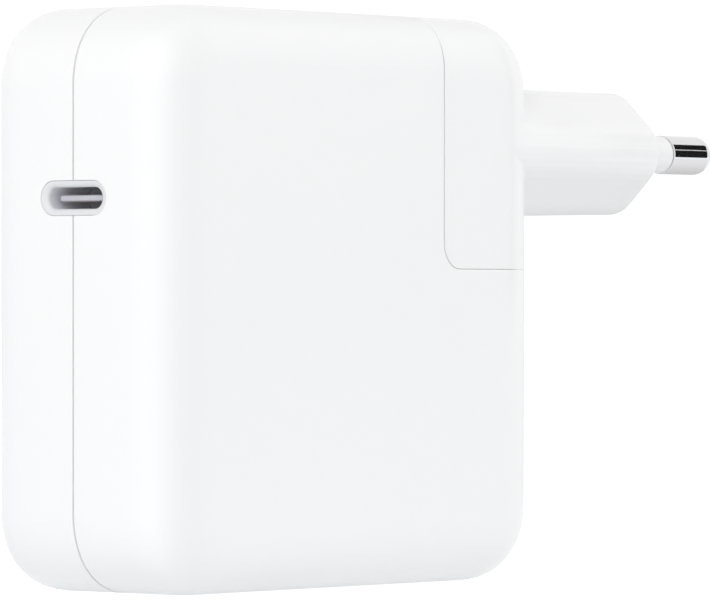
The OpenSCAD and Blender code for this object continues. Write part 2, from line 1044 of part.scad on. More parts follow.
// Brass tube in the nose that grips one inlet pin
module contact_socket(side) {
    color("goldenrod")
        inlet_axis(side)
            translate([0, 0, head_x - nose_len + 0.4])
                difference() {
                    cylinder(d = socket_d, h = link_x - head_x + nose_len - 0.4);
                    translate([0, 0, -1])
                        cylinder(d = socket_bore_d, h = link_x - head_x + nose_len - 0.4);
                }
}

module contact_socket_front() {
    contact_socket(-1);
}

module contact_socket_back() {
    contact_socket(1);
}

// Flat bar that joins a socket to its plug pin
module contact_link(side) {
    middle = side * (inlet_pitch / 2 + pin_pitch / 2) / 2;
    long = pin_pitch / 2 - inlet_pitch / 2 + socket_d;
    color("goldenrod")
        along_x(link_x, link_x + link_t)
            translate([middle, plug_z])
                stadium(long, socket_d);
}

module contact_link_front() {
    contact_link(-1);
}

module contact_link_back() {
    contact_link(1);
}

// Plug pin with a neck under its sleeve and a round tip
module plug_pin(side) {
    tip = block_end + pin_len;
    color("silver")
        pin_axis(side) {
            translate([0, 0, pin_root])
                cylinder(d = root_d, h = block_end - sleeve_in - pin_root);
            translate([0, 0, block_end - sleeve_in - eps])
                cylinder(d = neck_d, h = sleeve_len + sleeve_in + 2 * eps);
            translate([0, 0, block_end + sleeve_len])
                cylinder(d = pin_d, h = pin_len - sleeve_len - pin_d / 2);
            translate([0, 0, tip - pin_d / 2])
                rotate_extrude()
                    intersection() {
                        circle(d = pin_d);
                        square(pin_d);
                    }
        }
}

module plug_pin_front() {
    plug_pin(-1);
}

module plug_pin_back() {
    plug_pin(1);
}

module pin_sleeve(side) {
    color("white")
        pin_axis(side)
            translate([0, 0, block_end - sleeve_in])
                difference() {
                    cylinder(d = sleeve_d, h = sleeve_len + sleeve_in);
                    translate([0, 0, -1])
                        cylinder(d = neck_d, h = sleeve_len + sleeve_in + 2);
                }
}

module pin_sleeve_front() {
    pin_sleeve(-1);
}

module pin_sleeve_back() {
    pin_sleeve(1);
}

front_shell();
back_shell();
port_rim();
usb_c_shell();
usb_c_tongue();
usb_c_contacts();
usb_board();
main_board();
front_heat_spreader();
back_heat_spreader();
front_insulator();
back_insulator();
thermal_pad();
transformer_core();
transformer_bobbin();
transformer_winding();
choke_core();
choke_windings();
bulk_capacitors();
x_capacitor();
y_capacitor();
bridge_rectifier();
fuse();
switch_transistor();
output_capacitors();
output_inductor();
controller_chip();
optocoupler();
inlet_housing();
inlet_pin_front();
inlet_pin_back();
locking_stud();
plug_head_shell();
plug_head_cover();
slot_plate();
pin_carrier();
contact_socket_front();
contact_socket_back();
contact_link_front();
contact_link_back();
plug_pin_front();
plug_pin_back();
pin_sleeve_front();
pin_sleeve_back();
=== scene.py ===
import json
import math

import bmesh
import bpy
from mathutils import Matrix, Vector
from mathutils.bvhtree import BVHTree


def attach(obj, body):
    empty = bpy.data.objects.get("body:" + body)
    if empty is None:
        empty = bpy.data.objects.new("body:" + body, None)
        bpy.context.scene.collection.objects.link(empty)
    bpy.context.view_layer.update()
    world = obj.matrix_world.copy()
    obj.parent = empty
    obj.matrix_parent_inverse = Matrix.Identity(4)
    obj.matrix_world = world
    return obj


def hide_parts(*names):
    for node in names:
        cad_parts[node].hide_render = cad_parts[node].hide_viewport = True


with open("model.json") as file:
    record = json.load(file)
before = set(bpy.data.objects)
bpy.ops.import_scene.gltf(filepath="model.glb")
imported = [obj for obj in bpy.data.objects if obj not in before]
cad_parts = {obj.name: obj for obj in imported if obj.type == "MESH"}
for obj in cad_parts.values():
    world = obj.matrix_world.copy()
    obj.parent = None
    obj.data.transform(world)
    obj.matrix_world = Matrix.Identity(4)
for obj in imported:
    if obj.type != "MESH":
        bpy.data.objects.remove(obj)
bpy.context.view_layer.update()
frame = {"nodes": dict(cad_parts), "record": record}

# ---------- sizes, in millimetres ----------

MM = 0.001
WIDTH, HEIGHT, THICK, WALL = 67.0, 67.0, 29.0, 2.2
HALF_W, HALF_T = WIDTH / 2, THICK / 2

# The housing's corners and edges ease into the flats, so they are superellipses
CORNER_R, CORNER_POWER = 9.6, 2.22
EDGE_ALONG, EDGE_THROUGH, EDGE_POWER = 7.3, 6.1, 2.39
FLAT_Y = HALF_T - EDGE_THROUGH
SEAM_HALF, SEAM_DEEP, SEAM_LIP, SEAM_SHUT = 0.14, 0.6, 0.035, 0.004
CREASE = 0.1
# How far the innermost row of a face stands inside the rounding of its edge
FACE_INSET = 0.5

# Notch of the body that the plug head fills
NOTCH_X, NOTCH_Z, NOTCH_R, GAP = 14.8, 37.1, 3.0, 0.15
SIDE_GAP, FLOOR_GAP = 0.22, 0.035
HEAD_X, HEAD_Z = NOTCH_X + GAP, NOTCH_Z + GAP
HEAD_FLOOR = HEAD_Z + 3.6
COVER_T, COVER_WALL, COVER_GAP, COVER_CORNER, COVER_BEVEL = 2.0, 1.4, 0.1, 0.4, 0.15
POCKET_CLEAR = 0.02
# How far a cutting shape starts outside what it cuts
CUT_CLEAR = 1

# Posts for the main board: distances from the inner walls, radii and depths
POST_IN, POST_UNDER, POST_R, PIP_R, PIP_BEVEL = 7, 4, 2.0, 1.0, 0.15
PIP_TIP_Y, POST_Y, POST_ROOT_Y = 8.0, 9.2, 13.4

# Plug block and its two pins
PLUG_Z = 51.5
BLOCK_END, BLOCK_W, BLOCK_H, BLOCK_R = 56.7, 28.8, 15.0, 4.5
BLOCK_SLANT = math.radians(44)
BLOCK_ROOT, BLOCK_TIP_R, BLOCK_TIP_IN = 0.55, 0.7, 0.4
BLOCK_ROWS = 35.6, 45.0
PIN_Y, PIN_R, PIN_NECK_R, SLEEVE_R = 9.5, 2.4, 1.7, 2.28
PIN_ROOT_X, SLEEVE_IN, SLEEVE_OUT, PIN_OUT = HEAD_X + 5.8, 4.0, 6.0, 15.0
PIN_STEP, PIN_GAP, SLEEVE_BORE, SLEEVE_EDGE, SLEEVE_GAP = 0.2, 0.01, 0.005, 0.15, 0.04
BORE_START, BORE_R = 20.0, 2.2
BORE_LIP_IN, BORE_LIP_OUT, BORE_LIP_GROW = 0.15, 0.1, 0.3
# The pin's rounded shoulder beyond its sleeve, as (inset from its side, distance)
PIN_SHOULDER = (0.1, 0.06), (0.03, 0.09), (0, 0.16), (0, 0.2), (0, 0.5)
# Rows close before a rounding keep the shading of the straight side even
DOME_ROWS, SLEEVE_ROWS = (0.3, 0.03), (0.5, 0.2)

# Inlet, its plug nose and the locking stud
INLET_Y, LOBE_R, BAR = 4.3, 3.5, 2.8
NOSE_L, NOSE_ROOT, NOSE_BEVEL = 8.0, 0.5, 0.4
SOCKET_MOUTH_R, SOCKET_BORE_R, SOCKET_LEAD, SOCKET_END = 2.3, 1.9, 0.4, 18.0
SLIDE, HOLE_GAP = 0.3, 0.1
INLET_R, INLET_BAR, INLET_DEEP, INLET_BASE = 5.0, 4.0, 8.15, 2.5
INLET_PIN_BORE, INLET_PIN_END, INLET_EDGE, INLET_LEAD = 1.22, 8.0, 0.15, 0.5
FLANGE_T, FLANGE_GROW, FLANGE_BAR_GROW, BACK_EDGE = 1.5, 1.2, 1, 0.3
STUD_X, STUD_R, STUD_HEAD_R, STUD_HEAD_T = NOTCH_X + 9, 2.0, 3.5, 1.2
STUD_EDGE, DIMPLE_R, DIMPLE_DEEP = 0.2, 0.85, 0.15
# The stud head's rounded top edge, as (inset from its side, distance from its top)
STUD_ROUND = (0, 0.35), (0.08, 0.14), (0.3, 0)
PLATE_T, PLATE_BEVEL, STUD_UNDER = 0.8, 0.12, NOTCH_Z + 1.25
PLATE_START, PLATE_END, PLATE_HALF, PLATE_GAP = 17.5, STUD_X + 5.6, 5.3, 0.1
SLOT_HALF, CHANNEL_HALF, CHANNEL_TOP = 2.3, 3.8, STUD_UNDER + 1.5

# Charging port
PORT_Z, PORT_W, PORT_H = 45.0, 10.2, 4.0
RIM_GAP, RIM_LIP, RIM_SUNK, RIM_FLANGE = 0.05, 0.12, 0.1, 2
RIM_FLANGE_X, RIM_REAR_X = -31.3, -30.5
MOUTH_IN, MOUTH_H = 0.6, 2.44
# Places along the curve from the rim's lip to the mouth, closer where it turns down
RIM_CURVE = 0.0, 0.25, 0.45, 0.6, 0.72, 0.82, 0.9, 0.96, 1.0
MOUTH_X, SHELL_W, SHELL_H, SHELL_T, SHELL_L = -32.9, 8.94, 3.2, 0.3, 9.0
# Section of the shell, rounded at its mouth, as (inset, distance from the mouth)
SHELL_SECTION = ((0.0, 0.1), (0.03, 0.03), (0.1, 0), (0.2, 0), (0.27, 0.03),
                 (SHELL_T, 0.1), (SHELL_T, SHELL_L), (0.0, SHELL_L))
TONGUE_W, TONGUE_T, TONGUE_R, TONGUE_BASE = 6.7, 0.7, 0.3, 2.6
BASE_GAP, BASE_BEVEL, TONGUE_ROOT = 0.005, 0.1, 0.3
# The tongue's rounded tip, as (inset, distance from the shell's mouth)
TONGUE_TIP = (0.2, 0.8), (0.1, 0.83), (0.03, 0.92), (0.0, 1.1)
CONTACTS, CONTACT_PITCH, CONTACT_W, CONTACT_T, CONTACT_R = 12, 0.5, 0.25, 0.09, 0.03
CONTACT_START, CONTACT_FULL, CONTACT_FLAT, CONTACT_PROUD = 1.2, 1.4, 0.4, 0.005
CONTACT_BEVEL, CONTACT_TIP, CONTACT_STOP = 0.02, 0.06, 0.03


# ---------- outlines ----------

def steps(start, end, count):
    return [start + (end - start) * i / count for i in range(count + 1)]


def cosd(degrees):
    return math.cos(math.radians(degrees))


def sind(degrees):
    return math.sin(math.radians(degrees))


def arc(cx, cy, r, start, end, count):
    return [(cx + r * cosd(a), cy + r * sind(a)) for a in steps(start, end, count)]


def eased(t, power):
    """Cosine and sine parts of a superellipse at t degrees."""
    c, s = abs(cosd(t)), abs(sind(t))
    return c ** (2 / power), s ** (2 / power)


def corner_quarter(inset, count=22):
    """Corner of the front view from its side to its end, set in along its normal."""
    pts = []
    for t in steps(0, 90, count):
        u, v = eased(t, CORNER_POWER)
        nu, nv = u ** (CORNER_POWER - 1), v ** (CORNER_POWER - 1)
        size = math.hypot(nu, nv)
        pts.append((CORNER_R * u - inset * nu / size, CORNER_R * v - inset * nv / size))
    return pts


def edge_profile(inset, angles):
    """Section of the edge round a face: (inset from the side, distance from the middle)."""
    along, through = EDGE_ALONG - inset, EDGE_THROUGH - inset
    rows = []
    for t in angles:
        c, s = eased(t, EDGE_POWER)
        rows.append((inset + along * (1 - c), FLAT_Y + through * s))
    return rows


def oval(w, h, inset=0.0, count=12):
    r = h / 2 - inset
    return (arc((w - h) / 2, 0, r, -90, 90, count)
            + arc((h - w) / 2, 0, r, 90, 270, count))


def round_box(w, h, r, inset=0.0, count=5):
    r = max(r - inset, 0.02)
    a, b = w / 2 - inset - r, h / 2 - inset - r
    return (arc(a, b, r, 0, 90, count) + arc(-a, b, r, 90, 180, count)
            + arc(-a, -b, r, 180, 270, count) + arc(a, -b, r, 270, 360, count))


def two_lobes(r, bar, count=20):
    """Two round lobes joined by a bar of half height bar."""
    waist = math.degrees(math.atan2(bar, -math.sqrt(r * r - bar * bar)))
    return (arc(INLET_Y, 0, r, -waist, waist, count)
            + arc(-INLET_Y, 0, r, 180 - waist, 180 + waist, count))


def inset_polygon(pts, by):
    """Polygon with every side moved towards its inside by the same distance."""
    n = len(pts)
    out = []
    for i in range(n):
        a, b, c = (Vector(pts[(i + k) % n]) for k in (-1, 0, 1))
        u, v = (b - a).normalized(), (c - b).normalized()
        m = Vector((-u.y - v.y, u.x + v.x))
        out.append(tuple(b + m * (by * 2 / max(m.length_squared, 0.5))))
    return out


def block_section(inset=0.0, count=9):
    """Six-sided section of the plug block as (y, z) from its middle."""
    tip = BLOCK_W / 2 - BLOCK_R
    flat = BLOCK_H / 2 - BLOCK_R
    shoulder = tip - flat / math.tan(BLOCK_SLANT)
    turn = 90 - math.degrees(BLOCK_SLANT)
    r = BLOCK_R - inset
    pts = []
    for cx, cy, a, b in [(tip, 0, -turn, turn), (shoulder, flat, turn, 90),
                         (-shoulder, flat, 90, 180 - turn),
                         (-tip, 0, 180 - turn, 180 + turn),
                         (-shoulder, -flat, 180 + turn, 270),
                         (shoulder, -flat, 270, 360 - turn)]:
        pts += arc(cx, cy, r, a, b, count)
    return pts


# ---------- meshes ----------

SHARP_DEGREES = 32.0
WELD = 1e-8
# Points round a turned shape: the inner ones, the stud, and the pins and sleeves
COUNT, STUD_COUNT, FINE_COUNT = 48, 64, 72


def along_x(pts, x, z0=0.0):
    return [(x, u, z0 + v) for u, v in pts]


def along_y(pts, y):
    return [(u, y, v) for u, v in pts]


def along_z(pts, z):
    return [(u, v, z) for u, v in pts]


def loft(rings, closed=False):
    """Skin through rings of equal length, joined end to end or capped."""
    n, m = len(rings[0]), len(rings)
    verts = [p for ring in rings for p in ring]
    faces = []
    for i in range(m if closed else m - 1):
        a, b = i * n, (i + 1) % m * n
        faces += [(a + j, a + (j + 1) % n, b + (j + 1) % n, b + j) for j in range(n)]
    if not closed:
        faces += [tuple(range(n)), tuple(range((m - 1) * n, m * n))]
    return verts, faces


def joined(*shapes):
    verts, faces = [], []
    for v, f in shapes:
        base = len(verts)
        verts += v
        faces += [tuple(i + base for i in face) for face in f]
    return verts, faces


def solid_mesh(shape):
    verts, faces = shape
    bm = bmesh.new()
    made = [bm.verts.new(Vector(v) * MM) for v in verts]
    for f in faces:
        bm.faces.new([made[i] for i in f])
    bmesh.ops.remove_doubles(bm, verts=bm.verts, dist=WELD)
    bmesh.ops.dissolve_degenerate(bm, edges=bm.edges, dist=WELD)
    bmesh.ops.recalc_face_normals(bm, faces=bm.faces)
    return bm


def loose_object(bm, name="scratch"):
    mesh = bpy.data.meshes.new(name)
    bm.to_mesh(mesh)
    bm.free()
    obj = bpy.data.objects.new(name, mesh)
    bpy.context.scene.collection.objects.link(obj)
    return obj


def combine(bm, cutter, how="DIFFERENCE"):
    """Cuts the second mesh from the first, or joins it on, and gives the result."""
    a, b = loose_object(bm), loose_object(cutter)
    mod = a.modifiers.new("cut", "BOOLEAN")
    mod.operation, mod.solver, mod.object = how, "EXACT", b
    bpy.context.view_layer.update()
    done = a.evaluated_get(bpy.context.evaluated_depsgraph_get())
    out = bmesh.new()
    out.from_mesh(done.to_mesh())
    done.to_mesh_clear()
    for o in (a, b):
        mesh = o.data
        bpy.data.objects.remove(o)
        bpy.data.meshes.remove(mesh)
    return out


def smooth(obj):
    obj.data.shade_smooth()
    obj.data.set_sharp_from_angle(angle=math.radians(SHARP_DEGREES))


def piece(name, body, slot, bm, *stands_for):
    """A finished piece that rides on a body and stands for the CAD nodes named."""
    obj = loose_object(bm, name)
    smooth(obj)
    obj.data.materials.append(finish[slot])
    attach(obj, body)
    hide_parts(*stands_for)


def eased_ends(a, b, bevel, count=3):
    """(inset, position) of a bar from a to b with its ends rounded by bevel."""
    sign = 1 if b > a else -1
    rows = [(bevel * (1 - sind(t)), a + sign * bevel * (1 - cosd(t)))
            for t in steps(0, 90, count)]
    return rows + [(g, a + b - x) for g, x in reversed(rows)]


def bar_x(outline, a, b, bevel, z0=0.0):
    """Bar of one outline along X from a to b with rounded end edges."""
    return loft([along_x(inset_polygon(outline, g), x, z0)
                 for g, x in eased_ends(a, b, bevel)])


def circle(count):
    return arc(0, 0, 1, 0, 360 - 360 / count, count - 1)


def turned_x(profile, y0, z0, count=COUNT, closed=False):
    """Shape turned about an axis along X, from rows of (radius, x)."""
    ring = circle(count)
    return loft([[(x, y0 + r * u, z0 + r * v) for u, v in ring] for r, x in profile],
                closed)


def turned_z(profile, x0, y0, count):
    """Shape turned about an axis along Z, from rows of (radius, z)."""
    ring = circle(count)
    return loft([[(x0 + r * u, y0 + r * v, z) for u, v in ring] for r, z in profile])


# ---------- materials ----------

def new_group(name, inputs, outputs):
    tree = bpy.data.node_groups.new(name, "ShaderNodeTree")
    for label, kind, value in inputs:
        socket = tree.interface.new_socket(label, in_out="INPUT", socket_type=kind)
        socket.default_value = value
    for label, kind in outputs:
        tree.interface.new_socket(label, in_out="OUTPUT", socket_type=kind)
    return tree, tree.nodes.new("NodeGroupInput"), tree.nodes.new("NodeGroupOutput")


def node(tree, kind, links=(), **values):
    """A node with its properties set and its inputs linked or given values."""
    made = tree.nodes.new(kind)
    for key, value in values.items():
        setattr(made, key, value)
    for name, value in dict(links).items():
        if isinstance(value, bpy.types.NodeSocket):
            tree.links.new(value, made.inputs[name])
        else:
            made.inputs[name].default_value = value
    return made


def maths(tree, operation, a, b=0.0, c=0.0):
    return node(tree, "ShaderNodeMath", {0: a, 1: b, 2: c},
                operation=operation).outputs[0]


def mapped(tree, value, start, end, low, high):
    """The value with its range from start to end carried over to low to high."""
    return node(tree, "ShaderNodeMapRange",
                {"Value": value, "From Min": start, "From Max": end,
                 "To Min": low, "To Max": high}).outputs["Result"]


def noise(tree, vector, per_mm, detail, roughness=0.5):
    return node(tree, "ShaderNodeTexNoise",
                {"Vector": vector, "Detail": detail, "Roughness": roughness,
                 "Scale": maths(tree, "MULTIPLY", per_mm, 1 / MM)}).outputs["Fac"]


def moulding_group():
    """Fine mould texture and the slow drift in gloss of a moulded surface."""
    tree, inp, out = new_group(
        "moulding", [("Grain per mm", "NodeSocketFloat", 6.0),
                     ("Drift per mm", "NodeSocketFloat", 0.08)],
        [("Height", "NodeSocketFloat"), ("Drift", "NodeSocketFloat")])
    spot = node(tree, "ShaderNodeTexCoord").outputs["Object"]
    grain = noise(tree, spot, inp.outputs["Grain per mm"], 3.0, 0.6)
    drift = noise(tree, spot, inp.outputs["Drift per mm"], 2.0, 0.45)
    tree.links.new(grain, out.inputs["Height"])
    tree.links.new(drift, out.inputs["Drift"])
    return tree


def drawn_group():
    """Fine lines that run one way along drawn, turned or rolled metal."""
    tree, inp, out = new_group(
        "drawn_lines", [("Squeeze", "NodeSocketVector", (60.0, 1200.0, 1200.0)),
                        ("Blotch per mm", "NodeSocketFloat", 0.25)],
        [("Height", "NodeSocketFloat"), ("Blotch", "NodeSocketFloat")])
    spot = node(tree, "ShaderNodeTexCoord").outputs["Object"]
    squeezed = node(tree, "ShaderNodeVectorMath", {0: spot, 1: inp.outputs["Squeeze"]},
                    operation="MULTIPLY").outputs[0]
    lines = node(tree, "ShaderNodeTexNoise",
                 {"Vector": squeezed, "Scale": 3.0, "Detail": 4.0, "Roughness": 0.7})
    blotch = noise(tree, spot, inp.outputs["Blotch per mm"], 2.0)
    tree.links.new(lines.outputs["Fac"], out.inputs["Height"])
    tree.links.new(blotch, out.inputs["Blotch"])
    return tree


def spread_group():
    """Turns a mask into a colour between two tones and a value between two limits."""
    tree, inp, out = new_group(
        "tone_spread", [("Mask", "NodeSocketFloat", 0.5),
                        ("Tone A", "NodeSocketColor", (0.5, 0.5, 0.5, 1)),
                        ("Tone B", "NodeSocketColor", (0.5, 0.5, 0.5, 1)),
                        ("Low", "NodeSocketFloat", 0.3),
                        ("High", "NodeSocketFloat", 0.4)],
        [("Color", "NodeSocketColor"), ("Value", "NodeSocketFloat")])
    mask = mapped(tree, inp.outputs["Mask"], 0.15, 0.85, 0.0, 1.0)
    mix = node(tree, "ShaderNodeMix", data_type="RGBA")
    for source, target in ((mask, "Factor"), (inp.outputs["Tone A"], "A"),
                           (inp.outputs["Tone B"], "B")):
        socket = [s for s in mix.inputs if s.name == target and s.enabled][0]
        tree.links.new(source, socket)
    colour = [s for s in mix.outputs if s.enabled][0]
    value = mapped(tree, mask, 0.0, 1.0, inp.outputs["Low"], inp.outputs["High"])
    tree.links.new(colour, out.inputs["Color"])
    tree.links.new(value, out.inputs["Value"])
    return tree


MOULDING, DRAWN, SPREAD = moulding_group(), drawn_group(), spread_group()
COAT_ROUGHNESS = 0.12


def new_material(name, values):
    """A material, its tree and its shader, with the shader's inputs given values."""
    mat = bpy.data.materials.new(name)
    mat.use_nodes = True
    shader = mat.node_tree.nodes["Principled BSDF"]
    for key, value in values.items():
        shader.inputs[key].default_value = value
    return mat, mat.node_tree, shader


def shaded(name, tone_a, tone_b, rough, bump, texture, texture_values, mask_name,
           metal=0.0, coat=0.0):
    """A finish whose tone, gloss and relief come from one of the texture groups.

    rough has its lowest and highest roughness, bump its strength and depth in mm."""
    mat, tree, shader = new_material(
        name, {"Metallic": metal, "Coat Weight": coat, "Coat Roughness": COAT_ROUGHNESS})
    made = tree.nodes.new("ShaderNodeGroup")
    made.node_tree = texture
    for key, value in texture_values.items():
        made.inputs[key].default_value = value
    spread = tree.nodes.new("ShaderNodeGroup")
    spread.node_tree = SPREAD
    spread.inputs["Tone A"].default_value = (*tone_a, 1)
    spread.inputs["Tone B"].default_value = (*tone_b, 1)
    spread.inputs["Low"].default_value, spread.inputs["High"].default_value = rough
    tree.links.new(made.outputs[mask_name], spread.inputs["Mask"])
    tree.links.new(spread.outputs["Color"], shader.inputs["Base Color"])
    tree.links.new(spread.outputs["Value"], shader.inputs["Roughness"])
    relief = node(tree, "ShaderNodeBump",
                  {"Height": made.outputs["Height"], "Strength": bump[0],
                   "Distance": bump[1] * MM})
    tree.links.new(relief.outputs["Normal"], shader.inputs["Normal"])
    return mat


def plastic(name, tone, spread, rough, grain=6.0, bump=(0.2, 0.004), **more):
    tone_b = tuple(c * (1 - spread) for c in tone)
    return shaded(name, tone, tone_b, rough, bump, MOULDING, {"Grain per mm": grain},
                  "Drift", **more)


def metal(name, tone, spread, rough, squeeze, bump=(0.15, 0.002), metallic=1.0, **more):
    tone_b = tuple(c * (1 - spread) for c in tone)
    return shaded(name, tone, tone_b, rough, bump, DRAWN, {"Squeeze": squeeze},
                  "Blotch", metal=metallic, **more)


ALONG_X, ALONG_Z = (60.0, 1200.0, 1200.0), (1200.0, 1200.0, 60.0)
finish = {
    "housing": plastic("white_housing", (0.93, 0.93, 0.935), 0.003, (0.27, 0.31),
                       grain=5.0, bump=(0.12, 0.003), coat=0.25),
    "port_rim": plastic("pale_rim", (0.76, 0.765, 0.785), 0.01, (0.3, 0.36)),
    "receptacle_metal": metal("satin_nickel", (0.84, 0.84, 0.88), 0.04, (0.42, 0.5),
                              ALONG_X, metallic=0.45),
    "tongue_plastic": plastic("tongue_grey", (0.57, 0.575, 0.62), 0.04, (0.4, 0.5)),
    "gold": metal("gold_contact", (0.80, 0.70, 0.50), 0.05, (0.25, 0.35), ALONG_X),
    "circuit_board": plastic("solder_mask", (0.03, 0.22, 0.10), 0.25, (0.3, 0.45),
                             grain=3.0),
    "aluminium": metal("rolled_aluminium", (0.84, 0.84, 0.86), 0.06, (0.35, 0.5),
                       ALONG_Z),
    "insulator": plastic("black_film", (0.03, 0.03, 0.035), 0.2, (0.35, 0.5)),
    "thermal_pad": plastic("soft_pad", (0.42, 0.48, 0.56), 0.1, (0.7, 0.85),
                           grain=2.0, bump=(0.4, 0.02)),
    "ferrite": plastic("ferrite", (0.06, 0.06, 0.065), 0.25, (0.45, 0.65), grain=4.0,
                       bump=(0.4, 0.01)),
    "black_plastic": plastic("black_moulding", (0.025, 0.025, 0.027), 0.2,
                             (0.4, 0.55)),
    "winding_tape": plastic("yellow_tape", (0.80, 0.60, 0.06), 0.12, (0.3, 0.42),
                            grain=1.0, bump=(0.3, 0.01)),
    "copper_wire": metal("lacquered_copper", (0.72, 0.34, 0.16), 0.15, (0.3, 0.42),
                         ALONG_X, bump=(0.5, 0.02)),
    "capacitor_sleeve": plastic("shrunk_sleeve", (0.03, 0.05, 0.12), 0.2,
                                (0.25, 0.38)),
    "yellow_plastic": plastic("yellow_box", (0.78, 0.66, 0.18), 0.08, (0.4, 0.5)),
    "blue_ceramic": plastic("blue_dip", (0.05, 0.16, 0.55), 0.15, (0.3, 0.45)),
    "brown_plastic": plastic("brown_sleeve", (0.16, 0.07, 0.03), 0.15, (0.35, 0.5)),
    "inlet_plastic": plastic("inlet_white", (0.86, 0.86, 0.86), 0.01, (0.36, 0.44)),
    "nickel_contact": metal("nickel_contact", (0.80, 0.79, 0.77), 0.04, (0.14, 0.24),
                            ALONG_X),
    "stud_steel": metal("turned_steel", (0.66, 0.66, 0.67), 0.06, (0.24, 0.36),
                        ALONG_Z),
    "brass": metal("plain_brass", (0.80, 0.62, 0.30), 0.08, (0.25, 0.38), ALONG_X),
    "plug_pin_metal": metal("polished_nickel", (0.77, 0.77, 0.78), 0.02, (0.05, 0.08),
                            ALONG_X, bump=(0.05, 0.001)),
    "sleeve_plastic": plastic("sleeve_white", (0.92, 0.92, 0.925), 0.003,
                              (0.24, 0.3)),
}


# ---------- housing halves ----------

PORT_SPAN, INLET_SPAN, STUD_SPAN = 5.0, 6.8, 4.0
PORT_COLUMNS, INLET_COLUMNS, STUD_COLUMNS = 32, 44, 20
CAP_ANGLES = [90, 87, 84, 81, 78, 74, 69, 63, 57, 50, 43, 36, 29, 22, 15, 8, 0]
INNER_ANGLES = [0, 15, 30, 45, 60, 75, 90]
# How fast the columns over the inlet's hole spread from its lobe's middle to the seam
SPREAD_RATE = 0.15
# Share of a ring's depth that its points over that hole take, outside and inside
HOLE_SHARE, INNER_HOLE_SHARE = 0.6, 0.5
# Rings round the holes: the wide one without a waist, and the one beside the lip
WIDE_GROW, LIP_GROW = 0.6, 0.2


def body_outline(inset, widen):
    """Front view of the body, set in, with its notch widened; and its holes' columns."""
    right, top = HALF_W - inset, HEIGHT - inset
    wall_x, floor_z = NOTCH_X - widen, NOTCH_Z - widen
    cx, cz = HALF_W - CORNER_R, HEIGHT - CORNER_R
    quarter = corner_quarter(inset)
    pts = arc(wall_x - CREASE, top - CREASE, CREASE, 0, 90, 3)
    pts += [(-cx - u, cz + v) for u, v in reversed(quarter)]
    holes = [len(pts)]
    pts += [(-right, z) for z in steps(PORT_Z + PORT_SPAN, PORT_Z - PORT_SPAN,
                                       PORT_COLUMNS)]
    pts += [(-cx - u, CORNER_R - v) for u, v in quarter]
    pts += [(cx + u, CORNER_R - v) for u, v in reversed(quarter)]
    pts += arc(right - CREASE, floor_z - CREASE, CREASE, 0, 90, 3)
    holes.append(len(pts))
    pts += [(x, floor_z) for x in steps(min(STUD_X + STUD_SPAN, right - 4 * CREASE),
                                        STUD_X - STUD_SPAN, STUD_COLUMNS)]
    pts += arc(NOTCH_X + NOTCH_R, NOTCH_Z + NOTCH_R, NOTCH_R + widen, 270, 180, 8)
    holes.append(len(pts))
    lobe = half_lobe(INLET_R, INLET_BAR, 0, 0, INLET_COLUMNS)
    for d, s in round_waist(lobe, INLET_SPAN - SPREAD_RATE * INLET_Y):
        spread = math.copysign(SPREAD_RATE * max(0, INLET_Y - d), s)
        pts.append((wall_x, PLUG_Z - s - spread))
    return pts, holes


def half_oval(w, h, grow, seam, count):
    """Half of an oval hole from the seam round to the seam: (depth, along)."""
    flat = count // 4
    r = h / 2 + grow
    c = (w - h) / 2
    return ([(d, r) for d in steps(seam, c, flat)]
            + arc(c, 0, r, 90, -90, count - 2 * flat)[1:-1]
            + [(d, -r) for d in steps(c, seam, flat)])


def half_round(r, grow, seam, count):
    """Half of a round hole from the seam round to the seam: (depth, along)."""
    start = math.degrees(math.acos(seam / (r + grow)))
    return arc(0, 0, r + grow, start, -start, count)


def half_lobe(r, bar, grow, seam, count):
    """Half of the inlet's two-lobed hole from the seam to the seam: (depth, along)."""
    r, bar = r + grow, bar + grow
    waist = math.degrees(math.atan2(bar, -math.sqrt(r * r - bar * bar)))
    edge = INLET_Y - math.sqrt(r * r - bar * bar)
    flat = 4
    return ([(d, bar) for d in steps(seam, edge, flat)]
            + arc(INLET_Y, 0, r, waist, -waist, count - 2 * flat)[1:-1]
            + [(d, -bar) for d in steps(edge, seam, flat)])


def crease_widen(y):
    """How far a notch edge stands back near the front or back face."""
    t = max(0.0, (abs(y) - (HALF_T - CREASE)) / CREASE)
    return CREASE * (1 - math.sqrt(max(0.0, 1 - t * t)))


def round_waist(lobe, r):
    """Outline of radius r without a waist, point by point round that of half_lobe."""
    out = []
    for d, s in lobe:
        if d < INLET_Y:
            out.append((d, math.copysign(r, s)))
        else:
            k = r / math.hypot(d - INLET_Y, s)
            out.append((INLET_Y + (d - INLET_Y) * k, s * k))
    return out


def plain_ring(side, inset, widen, y, hole_y):
    """Ring of a half shell, whose points over the inlet's hole have their own depth."""
    pts, holes = body_outline(inset, widen)
    first, last = holes[2], holes[2] + INLET_COLUMNS
    return [(x, side * (hole_y if first <= i <= last else y), z)
            for i, (x, z) in enumerate(pts)]


